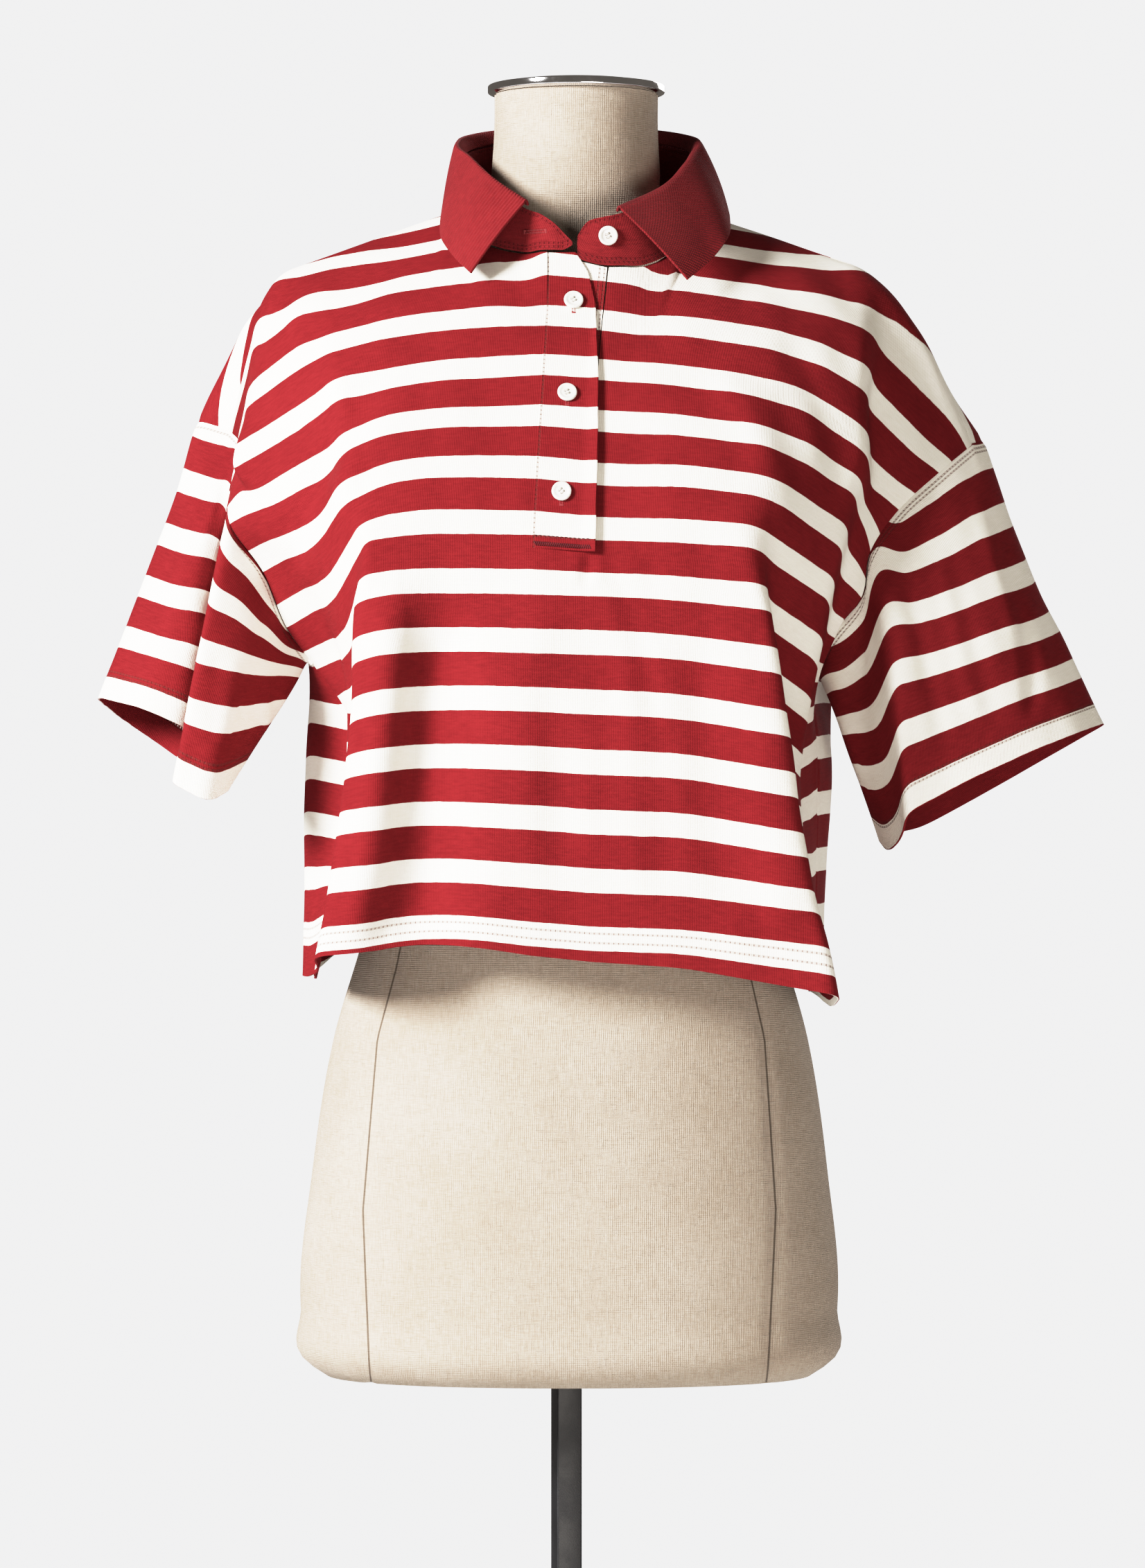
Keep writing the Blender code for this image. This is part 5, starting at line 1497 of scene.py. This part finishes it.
def make_cap(chrome):
    foot = FORM[-1][0] + CONTACT
    radius = CAP_ACROSS / 2
    profile = [(0, foot), (radius - 2.6, foot), (radius - 2.0, foot + 0.5)]
    profile += arc(radius - 1, foot + 1.8, 1, -90, 0, 6)
    profile += arc(radius - 1, foot + 4.9, 1, 0, 90, 6)
    profile += [(radius - 2.2, foot + 5.9), (radius - 2.8, foot + 5.4), (radius - 4, foot + 5.5),
                (radius - 12, foot + 7.6), (radius - 26, foot + 8.6), (0, foot + CAP_RISE)]
    bm = lathe(profile, 144)
    bmesh.ops.translate(bm, vec=Vector((FORM_SHIFT[1], 1, 0)) * MM, verts=bm.verts)
    cap = add_piece("neck_cap_chrome", bm, chrome)
    cap.data.set_sharp_from_angle(angle=math.radians(40))
    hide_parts("neck_cap")


def make_pole(paint):
    low, high = BASE_THICK + CONTACT, FORM[0][0] - CONTACT
    bm = bmesh.new()
    add_bar(bm, (POLE_SIDE, POLE_SIDE, high - low), (0, 0, (low + high) / 2))
    round_edges(bm, POLE_ROUND, 4)
    bmesh.ops.rotate(bm, cent=(0, 0, 0), verts=bm.verts,
                     matrix=Matrix.Rotation(math.radians(POLE_TURN), 3, "Z"))
    pole = add_piece("pole_tube", bm, paint)
    pole.data.set_sharp_from_angle(angle=math.radians(40))
    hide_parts("pole")


def make_base(paint):
    radius = BASE_ACROSS / 2
    profile = [(0, 0), (radius - 1, 0), (radius, 1)]
    profile += arc(radius - BASE_ROUND, BASE_THICK - BASE_ROUND, BASE_ROUND, 0, 90, 7)
    profile += [(POLE_SIDE, BASE_THICK), (0, BASE_THICK)]
    base = add_piece("base_disc", lathe(profile, 160), paint)
    base.data.set_sharp_from_angle(angle=math.radians(40))
    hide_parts("base_plate")


# ------------------------------------------------------------ light and camera
TONE = 0.8             # gamma of the view: deepens the shadows as the photograph does
BACKDROP = (1.36, 1.36, 1.37, 1)     # what the camera sees behind the floor
BRIGHTEST = 4.0        # light that the view shows as white
# the view's shoulder: (light, what it is shown as), so that pale cloth keeps its shading
SHOULDER = ((0.1, 0.1), (0.3, 0.3), (0.55, 0.55), (0.75, 0.70), (1.0, 0.82), (1.5, 0.92),
            (2.2, 0.965), (3.0, 0.988))
FLOOR_ACROSS = 6000
WORLD = (1.0, 0.90, 0.80, 1)
WORLD_STRENGTH = 0.20
# name, place, what it faces and diameter in metres, watts, colour
LIGHTS = (
    ("key", (-3.0, -2.3, 2.5), (0, 0, 1.2), 1.2, 545, (1.0, 0.985, 0.97)),
    ("low_fill", (1.2, -3.2, 0.3), (0, 0, 1.0), 1.8, 100, (1.0, 0.94, 0.87)),
    ("back", (1.6, 2.8, 2.2), (0, 0, 1.2), 2.0, 60, (1.0, 0.98, 0.96)),
)


def add_area_light(name, place, target, size, power, colour):
    data = bpy.data.lights.new(name, "AREA")
    data.shape = "DISK"
    data.size = size
    data.energy = power
    data.color = colour
    item = bpy.data.objects.new(name, data)
    item.location = place
    way = Vector(target) - Vector(place)
    item.rotation_euler = way.to_track_quat("-Z", "Y").to_euler()
    bpy.context.scene.collection.objects.link(item)


def make_world():
    """A soft light all round, and a paler backdrop that only the camera sees."""
    world = bpy.data.worlds.new("studio")
    bpy.context.scene.world = world
    world.use_nodes = True
    tree = world.node_tree
    shade = tree.nodes["Background"]
    shade.inputs["Color"].default_value = WORLD
    shade.inputs["Strength"].default_value = WORLD_STRENGTH
    seen = tree.nodes.new("ShaderNodeBackground")
    seen.inputs["Color"].default_value = BACKDROP
    rays = tree.nodes.new("ShaderNodeLightPath")
    choose = tree.nodes.new("ShaderNodeMixShader")
    tree.links.new(rays.outputs["Is Camera Ray"], choose.inputs["Fac"])
    tree.links.new(shade.outputs["Background"], choose.inputs[1])
    tree.links.new(seen.outputs["Background"], choose.inputs[2])
    tree.links.new(choose.outputs["Shader"], tree.nodes["World Output"].inputs["Surface"])


def make_floor():
    bm = bmesh.new()
    bmesh.ops.create_circle(bm, cap_ends=True, segments=96, radius=FLOOR_ACROSS / 2 * MM)
    mesh = bpy.data.meshes.new("floor")
    bm.to_mesh(mesh)
    bm.free()
    floor = bpy.data.objects.new("floor", mesh)
    bpy.context.scene.collection.objects.link(floor)
    pale = Finish("pale_floor", 0.8)
    pale.colour((0.8, 0.8, 0.8, 1))
    mesh.materials.append(pale.material)


def make_camera():
    data = bpy.data.cameras.new("camera")
    data.sensor_fit = "HORIZONTAL"
    data.sensor_width = 36.0
    data.lens = data.sensor_width * PIXELS_A_TURN / PICTURE_WIDE
    camera = bpy.data.objects.new("camera", data)
    camera.location = Vector(CAMERA) * MM
    camera.rotation_euler = (math.pi / 2, 0, 0)
    bpy.context.scene.collection.objects.link(camera)
    bpy.context.scene.camera = camera
    view = bpy.context.scene.view_settings
    view.view_transform = "Standard"
    view.look = "None"
    view.gamma = TONE
    view.use_curve_mapping = True
    curves = view.curve_mapping
    curves.white_level = (BRIGHTEST, BRIGHTEST, BRIGHTEST)
    for light, shown in SHOULDER:
        curves.curves[3].points.new(light / BRIGHTEST, shown)
    curves.update()


# ------------------------------------------------------------------- assembly
make_world()
make_floor()
for light in LIGHTS:
    add_area_light(*light)
make_camera()

BODY_KNIT = striped_knit("striped_jersey_body", heights=HEM_STITCHES, edge=HEM_EDGE)
LEFT_SHIFT, RIGHT_SHIFT = BAND_START, BAND_START - 0.5
LEFT_KNIT = striped_knit("striped_jersey_sleeve_left", (BAND_START + 16.5, BAND_START + 19.5),
                         (3.2,), edge=LEFT_SHIFT)
RIGHT_KNIT = striped_knit("striped_jersey_sleeve_right", (BAND_START + 14, BAND_START + 16.5),
                          (3.2, 6.0), edge=RIGHT_SHIFT)
TOP_KNIT = striped_knit("striped_jersey_top_strip", (SLIT_END + 6.5,), (), (1.3,), turn_up=0)
UNDER_KNIT = striped_knit("striped_jersey_under_strip", (), (), (-1.2, -4.4), turn_up=0)
LEAF_KNIT = rib_knit("burgundy_rib")
STAND_KNIT = stand_knit("burgundy_jersey")
PEARL = pearl("pearl_button")
RED_THREAD = sewing_thread("burgundy_thread", (0.24, 0.035, 0.04, 1))
DARK_THREAD = sewing_thread("dark_thread", (0.07, 0.012, 0.016, 1))
PALE_THREAD = sewing_thread("cream_thread", (0.55, 0.52, 0.47, 1))

front = make_front(BODY_KNIT)
back = make_back(BODY_KNIT)
sleeve_left = make_sleeve("left", LEFT_SLEEVE, LEFT_SLEEVE_CREASES, LEFT_SHIFT, LEFT_KNIT)
sleeve_right = make_sleeve("right", RIGHT_SLEEVE, RIGHT_SLEEVE_CREASES, RIGHT_SHIFT,
                           RIGHT_KNIT)
stand = make_stand(STAND_KNIT)
leaf = make_leaf(LEAF_KNIT)
top_strip, under_strip = make_placket(TOP_KNIT, UNDER_KNIT)

for name, height, across, turn in BUTTONS:
    place, out = on_top_strip(height, across, BUTTON_CLEAR + BUTTON_THICK / 2)
    make_button(name, place, out, turn, PEARL, PALE_THREAD)
    place, out = on_top_strip(height - HOLE_BELOW, across, 0.1)
    make_buttonhole(name + "_hole", place, out, (0, 0, 1), RED_THREAD)
strip_stitches(DARK_THREAD)
place, out = stand_point(*STAND_HOLE)
make_buttonhole("stand_hole", place + out * 0.1, out, (1, 0, 0.05), RED_THREAD)
place, out = stand_point(*STAND_BUTTON)
make_button("button_stand", place + out * (BUTTON_CLEAR + BUTTON_THICK / 2), out,
            STAND_BUTTON_TURN, PEARL, PALE_THREAD)

make_form(linen_cloth("natural_linen"))
make_cap(chrome_metal("polished_chrome"))
PAINT = charcoal_paint("charcoal_powder_paint")
make_pole(PAINT)
make_base(PAINT)
